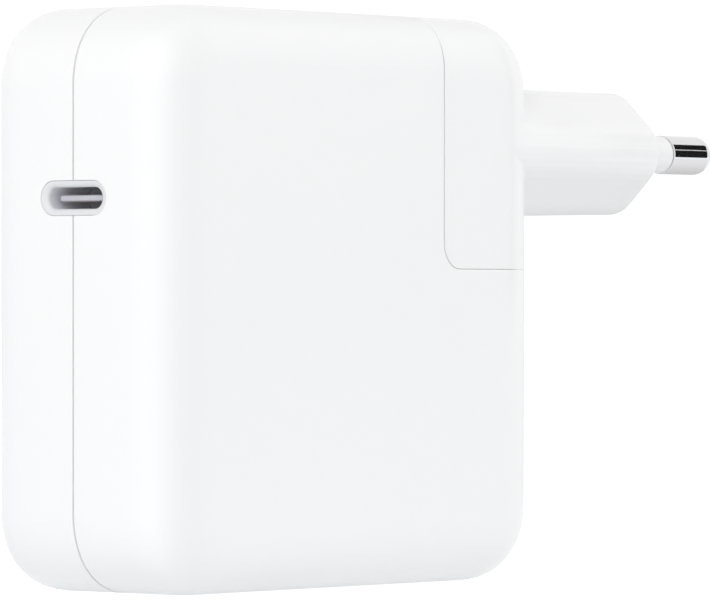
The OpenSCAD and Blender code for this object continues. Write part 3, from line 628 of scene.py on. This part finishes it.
def seam_ring(side, deep, grow, seam, waist=True):
    """Ring beside the parting plane, with the half holes of the three openings."""
    pts, holes = body_outline(deep, deep)
    ring = [(x, side * seam, z) for x, z in pts]
    port = half_oval(PORT_W, PORT_H, grow, seam, PORT_COLUMNS)
    stud = half_round(STUD_R + HOLE_GAP, grow, seam, STUD_COLUMNS)
    inlet = half_lobe(INLET_R + HOLE_GAP, INLET_BAR + HOLE_GAP, grow, seam,
                      INLET_COLUMNS)
    if not waist:
        inlet = round_waist(inlet, INLET_R + HOLE_GAP + grow)
    for i, (d, s) in enumerate(port):
        ring[holes[0] + i] = (deep - HALF_W, side * d, PORT_Z + s)
    for i, (d, s) in enumerate(stud):
        ring[holes[1] + i] = (STUD_X + s, side * d, NOTCH_Z - deep)
    for i, (d, s) in enumerate(inlet):
        ring[holes[2] + i] = (NOTCH_X - deep, side * d, PLUG_Z - s)
    return ring


def half_shell(side):
    """Housing half: its outside from the face to the seam, the groove and its inside."""
    rings = [plain_ring(side, EDGE_ALONG + FACE_INSET, FACE_INSET, HALF_T, HALF_T)]
    for inset, y in edge_profile(0, CAP_ANGLES):
        hole_y = HALF_T - (HALF_T - y) * HOLE_SHARE
        rings.append(plain_ring(side, inset, crease_widen(y), y, hole_y))
    rings.append(seam_ring(side, 0, WIDE_GROW, WIDE_GROW, waist=False))
    rings.append(seam_ring(side, 0, SEAM_LIP + LIP_GROW, SEAM_HALF + SEAM_LIP + LIP_GROW))
    for t in steps(0, 90, 3):
        back, deep = SEAM_LIP * (1 - sind(t)), SEAM_LIP * (1 - cosd(t))
        rings.append(seam_ring(side, deep, back, SEAM_HALF + back))
    rings.append(seam_ring(side, SEAM_DEEP, 0, SEAM_HALF))
    rings.append(seam_ring(side, SEAM_DEEP, 0, SEAM_SHUT))
    rings.append(seam_ring(side, WALL, 0, SEAM_SHUT))
    rings.append(seam_ring(side, WALL, WIDE_GROW, WIDE_GROW, waist=False))
    inner_t = HALF_T - WALL
    for inset, y in edge_profile(WALL, INNER_ANGLES):
        hole_y = inner_t - (inner_t - y) * INNER_HOLE_SHARE
        rings.append(plain_ring(side, inset, WALL, y, hole_y))
    return solid_mesh(loft(rings))


def board_posts():
    """Posts that carry the main board, rooted in the back wall."""
    x, low, top = HALF_W - WALL - POST_IN, WALL + POST_IN, HEIGHT - WALL - POST_IN
    places = [(-x, low), (x, low), (-x, top), (x, NOTCH_Z - WALL - POST_UNDER)]
    rows = [(PIP_R - PIP_BEVEL, PIP_TIP_Y), (PIP_R, PIP_TIP_Y + PIP_BEVEL),
            (PIP_R, POST_Y), (POST_R, POST_Y), (POST_R, POST_ROOT_Y)]
    return solid_mesh(joined(*[
        loft([[(x + r * u, y, z + r * v) for u, v in circle(24)] for r, y in rows])
        for x, z in places]))


piece("front_shell", "adapter", "housing", half_shell(-1), "front_shell")
piece("back_shell", "adapter", "housing",
      combine(half_shell(1), board_posts(), "UNION"), "back_shell")


# ---------- plug head ----------

# Heights of the points on the plug side of the head's outline
SIDE_ROWS = 55.0, 48.0
# Where rays at that side start, in metres, and the span cut away for the block's root
RAY_START, WELL_X, CUT_X = 0.2, 24.0, 40.0
NORMAL_STEP, HALVINGS = 0.5, 24


def head_outline(inset, back):
    """Front view of the plug head, set in, with the sides towards the body held back."""
    right, top = HALF_W - inset, HEIGHT - inset
    left, floor = NOTCH_X + SIDE_GAP + back, NOTCH_Z + FLOOR_GAP + back
    cx, cz = HALF_W - CORNER_R, HEIGHT - CORNER_R
    quarter = corner_quarter(inset)
    foot_x, foot_z = NOTCH_X + NOTCH_R, NOTCH_Z + NOTCH_R
    pts = arc(left + CREASE, top - CREASE, CREASE, 180, 90, 3)
    pts += [(cx + u, cz + v) for u, v in reversed(quarter)]
    pts += [(right, z) for z in SIDE_ROWS]
    pts += arc(right - CREASE, floor + CREASE, CREASE, 0, -90, 3)
    pts += [(foot_x + u * (foot_x - left), foot_z + v * (foot_z - floor))
            for u, v in arc(0, 0, 1, 270, 180, 8)]
    return pts


def head_form():
    """The plug head's rounded form without the block."""
    half = [(EDGE_ALONG + FACE_INSET, FACE_INSET, HALF_T)]
    half += [(d, crease_widen(y), y) for d, y in edge_profile(0, CAP_ANGLES)]
    rings = [along_y(head_outline(d, b), -y) for d, b, y in half]
    rings += [along_y(head_outline(d, b), y) for d, b, y in reversed(half)]
    return solid_mesh(loft(rings))


def head_hollow():
    """Room inside the plug head, open towards the cover's pocket."""
    cx, cz = HALF_W - CORNER_R, HEIGHT - CORNER_R
    left = HEAD_X + COVER_T / 2
    rings = []
    for d, y in edge_profile(WALL, INNER_ANGLES[::-1]):
        pts = [(left, HEIGHT - d)]
        pts += [(cx + u, cz + v) for u, v in reversed(corner_quarter(d))]
        pts += [(HALF_W - d, HEAD_FLOOR), (left, HEAD_FLOOR)]
        rings.append((pts, y))
    return solid_mesh(loft([along_y(pts, -y) for pts, y in rings]
                           + [along_y(pts, y) for pts, y in reversed(rings)]))


def skin_x(tree, y, z):
    """How far the plug side reaches at a place in the side view."""
    hit = tree.ray_cast(Vector((RAY_START, y * MM, z * MM)), Vector((-1, 0, 0)))[0]
    return hit.x / MM if hit else None


def block_root(tree):
    """Rows of the block's root, one for each point of its section.

    A row has the x of the crease with the skin, the section's point, its normal, and
    where the fillet starts on the skin, found by halving."""
    rows = []
    for (y, z), (yi, zi) in zip(block_section(), block_section(NORMAL_STEP)):
        n = Vector((y - yi, z - zi)).normalized()
        x = skin_x(tree, y, z + PLUG_Z)
        low, high = 0.0, BLOCK_ROOT
        for _ in range(HALVINGS):
            mid = (low + high) / 2
            found = skin_x(tree, y + n.x * mid, z + n.y * mid + PLUG_Z)
            far = found is None or math.hypot(mid, x - found) > BLOCK_ROOT
            low, high = (low, mid) if far else (mid, high)
        rows.append((x, Vector((y, z)), n, Vector((y + n.x * low, z + n.y * low))))
    return rows


def place_on(rows, spot):
    """Where a point of the cut lies along the root's rows.

    Gives its distance, its place in their order, crease x, section point and normal."""
    best = None
    for i in range(len(rows)):
        a, b = rows[i], rows[(i + 1) % len(rows)]
        run = b[3] - a[3]
        t = min(1, max(0, (spot - a[3]).dot(run) / max(run.length_squared, 1e-12)))
        miss = (a[3] + run * t - spot).length
        if best is None or miss < best[0]:
            best = (miss, i + t, a[0] + (b[0] - a[0]) * t, a[1].lerp(b[1], t),
                    a[2].lerp(b[2], t).normalized())
    return best


def head_with_block():
    """The plug head's outside with the six-sided block growing out of its plug side."""
    bm = head_form()
    tree = BVHTree.FromBMesh(bm)
    rows = block_root(tree)
    cut = [tuple(r[3]) for r in rows]
    bm = combine(bm, solid_mesh(loft([along_x(cut, x, PLUG_Z) for x in (WELL_X, CUT_X)])))
    # The cut's walls and floor go, and the fillet starts from its rim
    sunk = [f for f in bm.faces
            if any(abs(v.co.x / MM - WELL_X) < 1e-4 for v in f.verts)]
    bmesh.ops.delete(bm, geom=sunk, context="FACES")
    rim = {v for e in bm.edges if e.is_boundary for v in e.verts}
    start = []
    for v in rim:
        spot = Vector((v.co.y / MM, v.co.z / MM - PLUG_Z))
        _, order, crease_x, foot, n = place_on(rows, spot)
        start.append((order, v, crease_x, foot, n))
    start.sort(key=lambda s: s[0])
    rings = [[s[1] for s in start]]

    def add_ring(points):
        rings.append([bm.verts.new(Vector(p) * MM) for p in points])

    # From the rim a quadratic curve runs past the crease and up the block
    for t in steps(0, 1, 5)[1:]:
        add_ring([v.co / MM * (1 - t) ** 2
                  + Vector((x, p.x, p.y + PLUG_Z)) * 2 * t * (1 - t)
                  + Vector((x + BLOCK_ROOT, p.x, p.y + PLUG_Z)) * t * t
                  for _, v, x, p, n in start])
    outside = [(x, 0) for x in BLOCK_ROWS]
    outside += [(BLOCK_END - BLOCK_TIP_R * (1 - sind(a)), BLOCK_TIP_R * (1 - cosd(a)))
                for a in steps(0, 90, 5)]
    outside.append((BLOCK_END, BLOCK_TIP_R + BLOCK_TIP_IN))
    for x, g in outside:
        add_ring([(x, p.x - n.x * g, p.y - n.y * g + PLUG_Z)
                  for _, v, _, p, n in start])
    count = len(start)
    for a, b in zip(rings, rings[1:]):
        for i in range(count):
            k = (i + 1) % count
            bm.faces.new([a[i], a[k], b[k], b[i]])
    bm.faces.new(rings[-1])
    bmesh.ops.recalc_face_normals(bm, faces=bm.faces)
    return bm


def cover_outline(grow):
    """Face of the cover as (y, z): the plug head's section with its top edges eased."""
    inset = COVER_WALL + COVER_GAP - grow
    half, top, low = HALF_T - inset, HEIGHT - inset, HEAD_FLOOR + COVER_GAP - grow
    along, through = EDGE_ALONG - inset, EDGE_THROUGH - inset
    curve = [(c * through, s * along)
             for c, s in (eased(t, EDGE_POWER) for t in steps(0, 90, 8))]
    pts = [(half - through + u, top - along + v) for u, v in curve]
    pts += [(through - half - u, top - along + v) for u, v in reversed(curve)]
    r = COVER_CORNER
    return (pts + arc(r - half, low + r, r, 180, 270, 3)
            + arc(half - r, low + r, r, 270, 360, 3))


def slot_path(half, end, x0):
    """Slot open towards the body with a round far end, as (x, y)."""
    return [(x0, -half)] + arc(end, 0, half, -90, 90, 16) + [(x0, half)]


out_x, out_z, pin_end = HEAD_X - CUT_CLEAR, HEAD_Z - CUT_CLEAR, BLOCK_END - SLEEVE_IN
pocket = [along_x(cover_outline(COVER_GAP), x)
          for x in (out_x, HEAD_X + COVER_T + POCKET_CLEAR)]
channel = [along_z(slot_path(CHANNEL_HALF, STUD_X + SLIDE, out_x), z)
           for z in (out_z, CHANNEL_TOP)]
recess = [along_z([(out_x, -PLATE_HALF), (PLATE_END, -PLATE_HALF),
                   (PLATE_END, PLATE_HALF), (out_x, PLATE_HALF)], z)
          for z in (out_z, HEAD_Z + PLATE_T)]
bore = [(BORE_R, BORE_START), (BORE_R, pin_end), (SLEEVE_R + SLEEVE_GAP, pin_end),
        (SLEEVE_R + SLEEVE_GAP, BLOCK_END - BORE_LIP_IN),
        (SLEEVE_R + BORE_LIP_GROW, BLOCK_END + BORE_LIP_OUT),
        (SLEEVE_R + BORE_LIP_GROW, BLOCK_END + CUT_CLEAR)]
head = combine(head_with_block(), head_hollow())
for cutter in ([loft(pocket), loft(channel), loft(recess)]
               + [turned_x(bore, side * PIN_Y, PLUG_Z) for side in (-1, 1)]):
    head = combine(head, solid_mesh(cutter))
piece("plug_head_shell", "plug_head", "housing", head, "plug_head_shell")

nose_x = HEAD_X - NOSE_L
nose = bar_x(two_lobes(LOBE_R, BAR), nose_x, HEAD_X + NOSE_ROOT, NOSE_BEVEL, PLUG_Z)
cover = bar_x(cover_outline(0.0), HEAD_X, HEAD_X + COVER_T, COVER_BEVEL)
cover = combine(solid_mesh(cover), solid_mesh(nose), "UNION")
socket_bore = [(SOCKET_MOUTH_R, nose_x - CUT_CLEAR), (SOCKET_MOUTH_R, nose_x),
               (SOCKET_BORE_R, nose_x + SOCKET_LEAD), (SOCKET_BORE_R, SOCKET_END)]
for side in (-1, 1):
    cover = combine(cover, solid_mesh(turned_x(socket_bore, side * INLET_Y, PLUG_Z)))
piece("plug_head_cover", "plug_head", "housing", cover, "plug_head_cover")

half = PLATE_HALF - PLATE_GAP
plate = slot_path(SLOT_HALF, STUD_X, PLATE_START) + [
    (PLATE_START, half), (PLATE_END, half), (PLATE_END, -half), (PLATE_START, -half)]
plate_rings = [along_z(inset_polygon(plate[::-1], g), z)
               for g, z in eased_ends(HEAD_Z, HEAD_Z + PLATE_T, PLATE_BEVEL)]
piece("slot_plate", "plug_head", "stud_steel", solid_mesh(loft(plate_rings)),
      "slot_plate")

neck_x, end, dome = pin_end - PIN_GAP, BLOCK_END + SLEEVE_OUT, BLOCK_END + PIN_OUT - PIN_R
pin = [(PIN_R - PIN_STEP, PIN_ROOT_X), (PIN_R - PIN_STEP, neck_x), (PIN_NECK_R, neck_x),
       (PIN_NECK_R, end + PIN_SHOULDER[0][1])]
pin += [(PIN_R - inset, end + x) for inset, x in PIN_SHOULDER]
pin += [(PIN_R, dome - x) for x in DOME_ROWS]
pin += [(PIN_R * cosd(a), dome + PIN_R * sind(a)) for a in steps(0, 87, 20)]
sleeve = [(PIN_NECK_R + SLEEVE_BORE, pin_end), (SLEEVE_R, pin_end)]
sleeve += [(SLEEVE_R, end - x) for x in SLEEVE_ROWS]
sleeve += arc(SLEEVE_R - SLEEVE_EDGE, end - SLEEVE_EDGE, SLEEVE_EDGE, 0, 90, 4)
sleeve.append((PIN_NECK_R + SLEEVE_BORE, end))
for label, y in (("front", -PIN_Y), ("back", PIN_Y)):
    piece("plug_pin_" + label, "plug_head", "plug_pin_metal",
          solid_mesh(turned_x(pin, y, PLUG_Z, FINE_COUNT)), "plug_pin_" + label)
    piece("pin_sleeve_" + label, "plug_head", "sleeve_plastic",
          solid_mesh(turned_x(sleeve, y, PLUG_Z, FINE_COUNT, closed=True)),
          "pin_sleeve_" + label)


# ---------- charging port ----------

def oval_tube(rows, count=16):
    """Closed ring through ovals, each given as (width, height, x)."""
    return loft([along_x(oval(w, h, 0, count), x, PORT_Z) for w, h, x in rows],
                closed=True)


def port_rim():
    """Rim whose face eases down to the mouth of the receptacle."""
    w, h, lip = PORT_W - RIM_GAP, PORT_H - RIM_GAP, -HALF_W + RIM_SUNK
    rows = [(w, h, lip + 0.06), (w - 0.04, h - 0.04, lip + 0.015)]
    for t in RIM_CURVE:
        rows.append((w - RIM_LIP + (SHELL_W - MOUTH_IN - w + RIM_LIP) * t,
                     h - RIM_LIP + (MOUTH_H - h + RIM_LIP) * t,
                     lip + (MOUTH_X - lip) * (1 - math.sqrt(1 - t * t))))
    rows += [(SHELL_W, SHELL_H, MOUTH_X), (SHELL_W, SHELL_H, RIM_REAR_X),
             (PORT_W + RIM_FLANGE, PORT_H + RIM_FLANGE, RIM_REAR_X),
             (PORT_W + RIM_FLANGE, PORT_H + RIM_FLANGE, RIM_FLANGE_X),
             (w, h, RIM_FLANGE_X)]
    return solid_mesh(oval_tube(rows))


piece("port_rim", "adapter", "port_rim", port_rim(), "port_rim")
shell_rows = [(SHELL_W - 2 * g, SHELL_H - 2 * g, MOUTH_X + x) for g, x in SHELL_SECTION]
piece("receptacle_shell", "adapter", "receptacle_metal",
      solid_mesh(oval_tube(shell_rows)), "usb_c_shell")

tongue_root = MOUTH_X + SHELL_L - TONGUE_BASE
blade = [(g, MOUTH_X + x) for g, x in TONGUE_TIP] + [(0.0, tongue_root + TONGUE_ROOT)]
tongue = loft([along_x(round_box(TONGUE_W, TONGUE_T, TONGUE_R, g), x, PORT_Z)
               for g, x in blade])
base = bar_x(oval(SHELL_W - 2 * SHELL_T, SHELL_H - 2 * SHELL_T, BASE_GAP),
             tongue_root, MOUTH_X + SHELL_L, BASE_BEVEL, PORT_Z)
piece("receptacle_tongue", "adapter", "tongue_plastic",
      combine(solid_mesh(base), solid_mesh(tongue), "UNION"), "usb_c_tongue")
contact_rows = [(CONTACT_BEVEL, MOUTH_X + CONTACT_START),
                (0.0, MOUTH_X + CONTACT_START + CONTACT_TIP),
                (0.0, tongue_root - CONTACT_STOP)]
strips = []
for i in range(CONTACTS):
    y = (i - (CONTACTS - 1) / 2) * CONTACT_PITCH
    for face in (-1, 1):
        z = PORT_Z + face * (TONGUE_T / 2 + CONTACT_PROUD)
        strips.append(loft([
            [(x, y + u, z + v * (1 if x > MOUTH_X + CONTACT_FULL else CONTACT_FLAT))
             for u, v in round_box(CONTACT_W, CONTACT_T, CONTACT_R, g, 2)]
            for g, x in contact_rows]))
piece("receptacle_contacts", "adapter", "gold", solid_mesh(joined(*strips)),
      "usb_c_contacts")


# ---------- inlet and locking stud ----------

def inlet():
    """Inlet housing from its back round the flange and the mouth to its floor."""
    back = NOTCH_X - INLET_DEEP - INLET_BASE
    flange = NOTCH_X - WALL
    outer = [(-BACK_EDGE, -BACK_EDGE, back), (0, 0, back + BACK_EDGE),
             (0, 0, flange - FLANGE_T), (FLANGE_GROW, FLANGE_BAR_GROW, flange - FLANGE_T),
             (FLANGE_GROW, FLANGE_BAR_GROW, flange), (0, 0, flange),
             (0, 0, NOTCH_X - INLET_EDGE), (-INLET_EDGE, -INLET_EDGE, NOTCH_X)]
    inner = [(INLET_LEAD, NOTCH_X), (INLET_EDGE, NOTCH_X - INLET_EDGE),
             (0, NOTCH_X - INLET_LEAD), (0, NOTCH_X - INLET_DEEP)]
    rows = [(INLET_R + u, INLET_BAR + v, x) for u, v, x in outer]
    rows += [(LOBE_R + SLIDE + g, BAR + SLIDE + g, x) for g, x in inner]
    bm = solid_mesh(loft([along_x(two_lobes(u, v), x, PLUG_Z) for u, v, x in rows]))
    pin_bore = [(INLET_PIN_BORE, back - CUT_CLEAR), (INLET_PIN_BORE, INLET_PIN_END)]
    for side in (-1, 1):
        bm = combine(bm, solid_mesh(turned_x(pin_bore, side * INLET_Y, PLUG_Z)))
    return bm


piece("inlet_housing", "adapter", "inlet_plastic", inlet(), "inlet_housing")

under, head_r, top = STUD_UNDER, STUD_HEAD_R, STUD_UNDER + STUD_HEAD_T
flange_z = NOTCH_Z - WALL
stud_rows = [(head_r - STUD_EDGE, flange_z - FLANGE_T),
             (head_r, flange_z - FLANGE_T + STUD_EDGE),
             (head_r, flange_z), (STUD_R, flange_z), (STUD_R, under - STUD_EDGE),
             (STUD_R + 0.06, under - 0.06), (STUD_R + STUD_EDGE, under),
             (head_r - 0.1, under), (head_r, under + 0.1)]
stud_rows += [(head_r - inset, top - z) for inset, z in STUD_ROUND]
stud_rows += [(DIMPLE_R + 0.15, top), (DIMPLE_R, top - DIMPLE_DEEP),
              (0.1, top - DIMPLE_DEEP)]
piece("locking_stud", "adapter", "stud_steel",
      solid_mesh(turned_z(stud_rows, STUD_X, 0, STUD_COUNT)), "locking_stud")


# ---------- the CAD pieces that stay ----------

for part in frame["record"]["subparts"]:
    obj = frame["nodes"][part["node"]]
    if obj.hide_render:
        continue
    obj.data.materials.clear()
    obj.data.materials.append(finish[part["material_slot"]])
    smooth(obj)


# ---------- studio ----------

# A level camera: its direction, where it stands in millimetres, and its lens
FORWARD = Vector((0.7606, 0.6492, 0.0))
RIGHTWARD = Vector((0.6492, -0.7606, 0.0))
CAMERA_UP, CAMERA_SIDE, CAMERA_AWAY = 33.47, 10.15, 706.4
LENS, SENSOR, CLIP = 305.3, 36.0, (0.05, 50.0)

lens = bpy.data.cameras.new("camera")
lens.lens, lens.sensor_width = LENS, SENSOR
lens.clip_start, lens.clip_end = CLIP
camera = bpy.data.objects.new("camera", lens)
bpy.context.scene.collection.objects.link(camera)
camera.location = (Vector((0, 0, CAMERA_UP)) + RIGHTWARD * CAMERA_SIDE
                   - FORWARD * CAMERA_AWAY) * MM
camera.rotation_mode = "QUATERNION"
camera.rotation_quaternion = FORWARD.to_track_quat("-Z", "Y")
bpy.context.scene.camera = camera


# Lamps, in metres and watts
LAMP_SIZE, LAMP_AIM = 0.9, Vector((0, 0, 0.035))
LAMPS = (("port_side_lamp", (-1.0, 0.27, 0.6), 4.1),
         ("corner_lamp", (-0.8, -0.7, 0.6), 6.0),
         ("plug_side_lamp", (1.0, -0.5, 0.5), 6.4),
         ("top_lamp", (0.1, -0.2, 1.2), 1.0),
         ("back_lamp", (0.3, 1.15, 0.5), 5.0))
for name, place, power in LAMPS:
    data = bpy.data.lights.new(name, "AREA")
    data.shape, data.size, data.size_y = "RECTANGLE", LAMP_SIZE, LAMP_SIZE
    data.energy = power
    obj = bpy.data.objects.new(name, data)
    obj.location = place
    obj.rotation_mode = "QUATERNION"
    obj.rotation_quaternion = (LAMP_AIM - Vector(place)).to_track_quat("-Z", "Y")
    bpy.context.scene.collection.objects.link(obj)
    obj.visible_glossy = False


def seen_level(tree, plain, camera, mirror):
    """A level that camera rays and mirror or glass rays see with their own increase."""
    path = node(tree, "ShaderNodeLightPath")
    level = maths(tree, "MULTIPLY_ADD", path.outputs["Is Camera Ray"], camera, plain)
    level = maths(tree, "MULTIPLY_ADD", path.outputs["Is Glossy Ray"], mirror, level)
    return maths(tree, "MULTIPLY_ADD", path.outputs["Is Transmission Ray"], mirror, level)


SKY_LIGHT, SKY_SEEN, SKY_MIRRORED = 0.32, 0.74, 0.68
world = bpy.data.worlds.new("studio")
world.use_nodes = True
bpy.context.scene.world = world
sky = world.node_tree
sky.links.new(seen_level(sky, SKY_LIGHT, SKY_SEEN, SKY_MIRRORED),
              sky.nodes["Background"].inputs["Strength"])
sky.nodes["Background"].inputs["Color"].default_value = (1, 1, 1, 1)


# Floor, in metres: its own light at the object's foot and further away, and what the
# camera sees added to it, each with the span over which it changes
FLOOR_HALF = 6.0
FLOOR_FOOT, FLOOR_LIGHT, FOOT_SPAN = 0.4, 0.36, (0.03, 0.1)
FLOOR_NEAR, FLOOR_FAR, FLOOR_SPAN = 0.42, 0.65, (0.08, 0.6)
FLOOR_MIRRORED = 0.25


def floor_material():
    """Pale floor that is white where the camera sees it and keeps the shadow."""
    mat, tree, shader = new_material(
        "pale_floor", {"Base Color": (0.5, 0.5, 0.5, 1), "Roughness": 0.9,
                       "Specular IOR Level": 0.1, "Emission Color": (0.965, 0.985, 1.0, 1)})
    spot = node(tree, "ShaderNodeTexCoord").outputs["Object"]
    away = node(tree, "ShaderNodeVectorMath", {0: spot}, operation="LENGTH").outputs["Value"]
    white = mapped(tree, away, *FLOOR_SPAN, FLOOR_NEAR, FLOOR_FAR)
    light = mapped(tree, away, *FOOT_SPAN, FLOOR_FOOT, FLOOR_LIGHT)
    tree.links.new(seen_level(tree, light, white, FLOOR_MIRRORED),
                   shader.inputs["Emission Strength"])
    return mat


bm = bmesh.new()
bm.faces.new([bm.verts.new((x * FLOOR_HALF, y * FLOOR_HALF, 0))
              for x, y in ((-1, -1), (1, -1), (1, 1), (-1, 1))])
obj = loose_object(bm, "floor")
obj.data.materials.append(floor_material())


def card_material(name, near_y, near_level, far_y, far_level):
    """Card that only mirrors see, a painted reflection whose level drifts along Y between
    two places.
    """
    mat, tree, shader = new_material(
        name, {"Base Color": (0, 0, 0, 1), "Specular IOR Level": 0.0,
               "Emission Color": (1, 1, 1, 1)})
    spot = node(tree, "ShaderNodeTexCoord").outputs["Object"]
    y = node(tree, "ShaderNodeSeparateXYZ", {0: spot}).outputs["Y"]
    tree.links.new(mapped(tree, y, near_y * MM, far_y * MM, near_level, far_level),
                   shader.inputs["Emission Strength"])
    return mat


def card(name, low, high, away, near, far, mat):
    """Card curved about the front pin's line.

    It reaches from low to high degrees, away from that line, and from near to far in X."""
    rings = []
    for a in steps(math.radians(low), math.radians(high), 12):
        y = -PIN_Y - away * math.cos(a)
        z = PLUG_Z + away * math.sin(a)
        rings.append([(near, y, z), (far, y, z)])
    bm = bmesh.new()
    made = [[bm.verts.new(Vector(v) * MM) for v in ring] for ring in rings]
    for (a, b), (d, c) in zip(made, made[1:]):
        bm.faces.new([a, b, c, d])
    obj = loose_object(bm, name)
    obj.data.materials.append(mat)
    obj.visible_camera = obj.visible_diffuse = obj.visible_shadow = False
    obj.visible_transmission = False


# What the front pin mirrors at an angle up its side stands at twice that angle
LOWER_SPAN, UPPER_SPAN, GREY_SPAN = (-12.5, 28.4), (32.1, 65.0), (-176.0, -24.0)
BLACK_LEVEL, BLACK_PLACE, GREY_PLACE = 0.012, (150.0, 237.0, 330.0), (45.0, 78.0, 160.0)
# The black cards, seen only by mirrors, paint dark bands into the pins' reflections.
black = card_material("black_card", 0, BLACK_LEVEL, 1, BLACK_LEVEL)
card("lower_card", *LOWER_SPAN, *BLACK_PLACE, black)
card("upper_card", *UPPER_SPAN, *BLACK_PLACE, black)
# Painted reflection on the pins' lower sides: the grey card, seen only by mirrors, darkens
# towards the back to stand in for the shaded floor under the object.
card("grey_card", *GREY_SPAN, *GREY_PLACE,
     card_material("grey_card", -45.0, 1.0, 30.0, 0.66))

bpy.context.scene.view_settings.view_transform = "Standard"
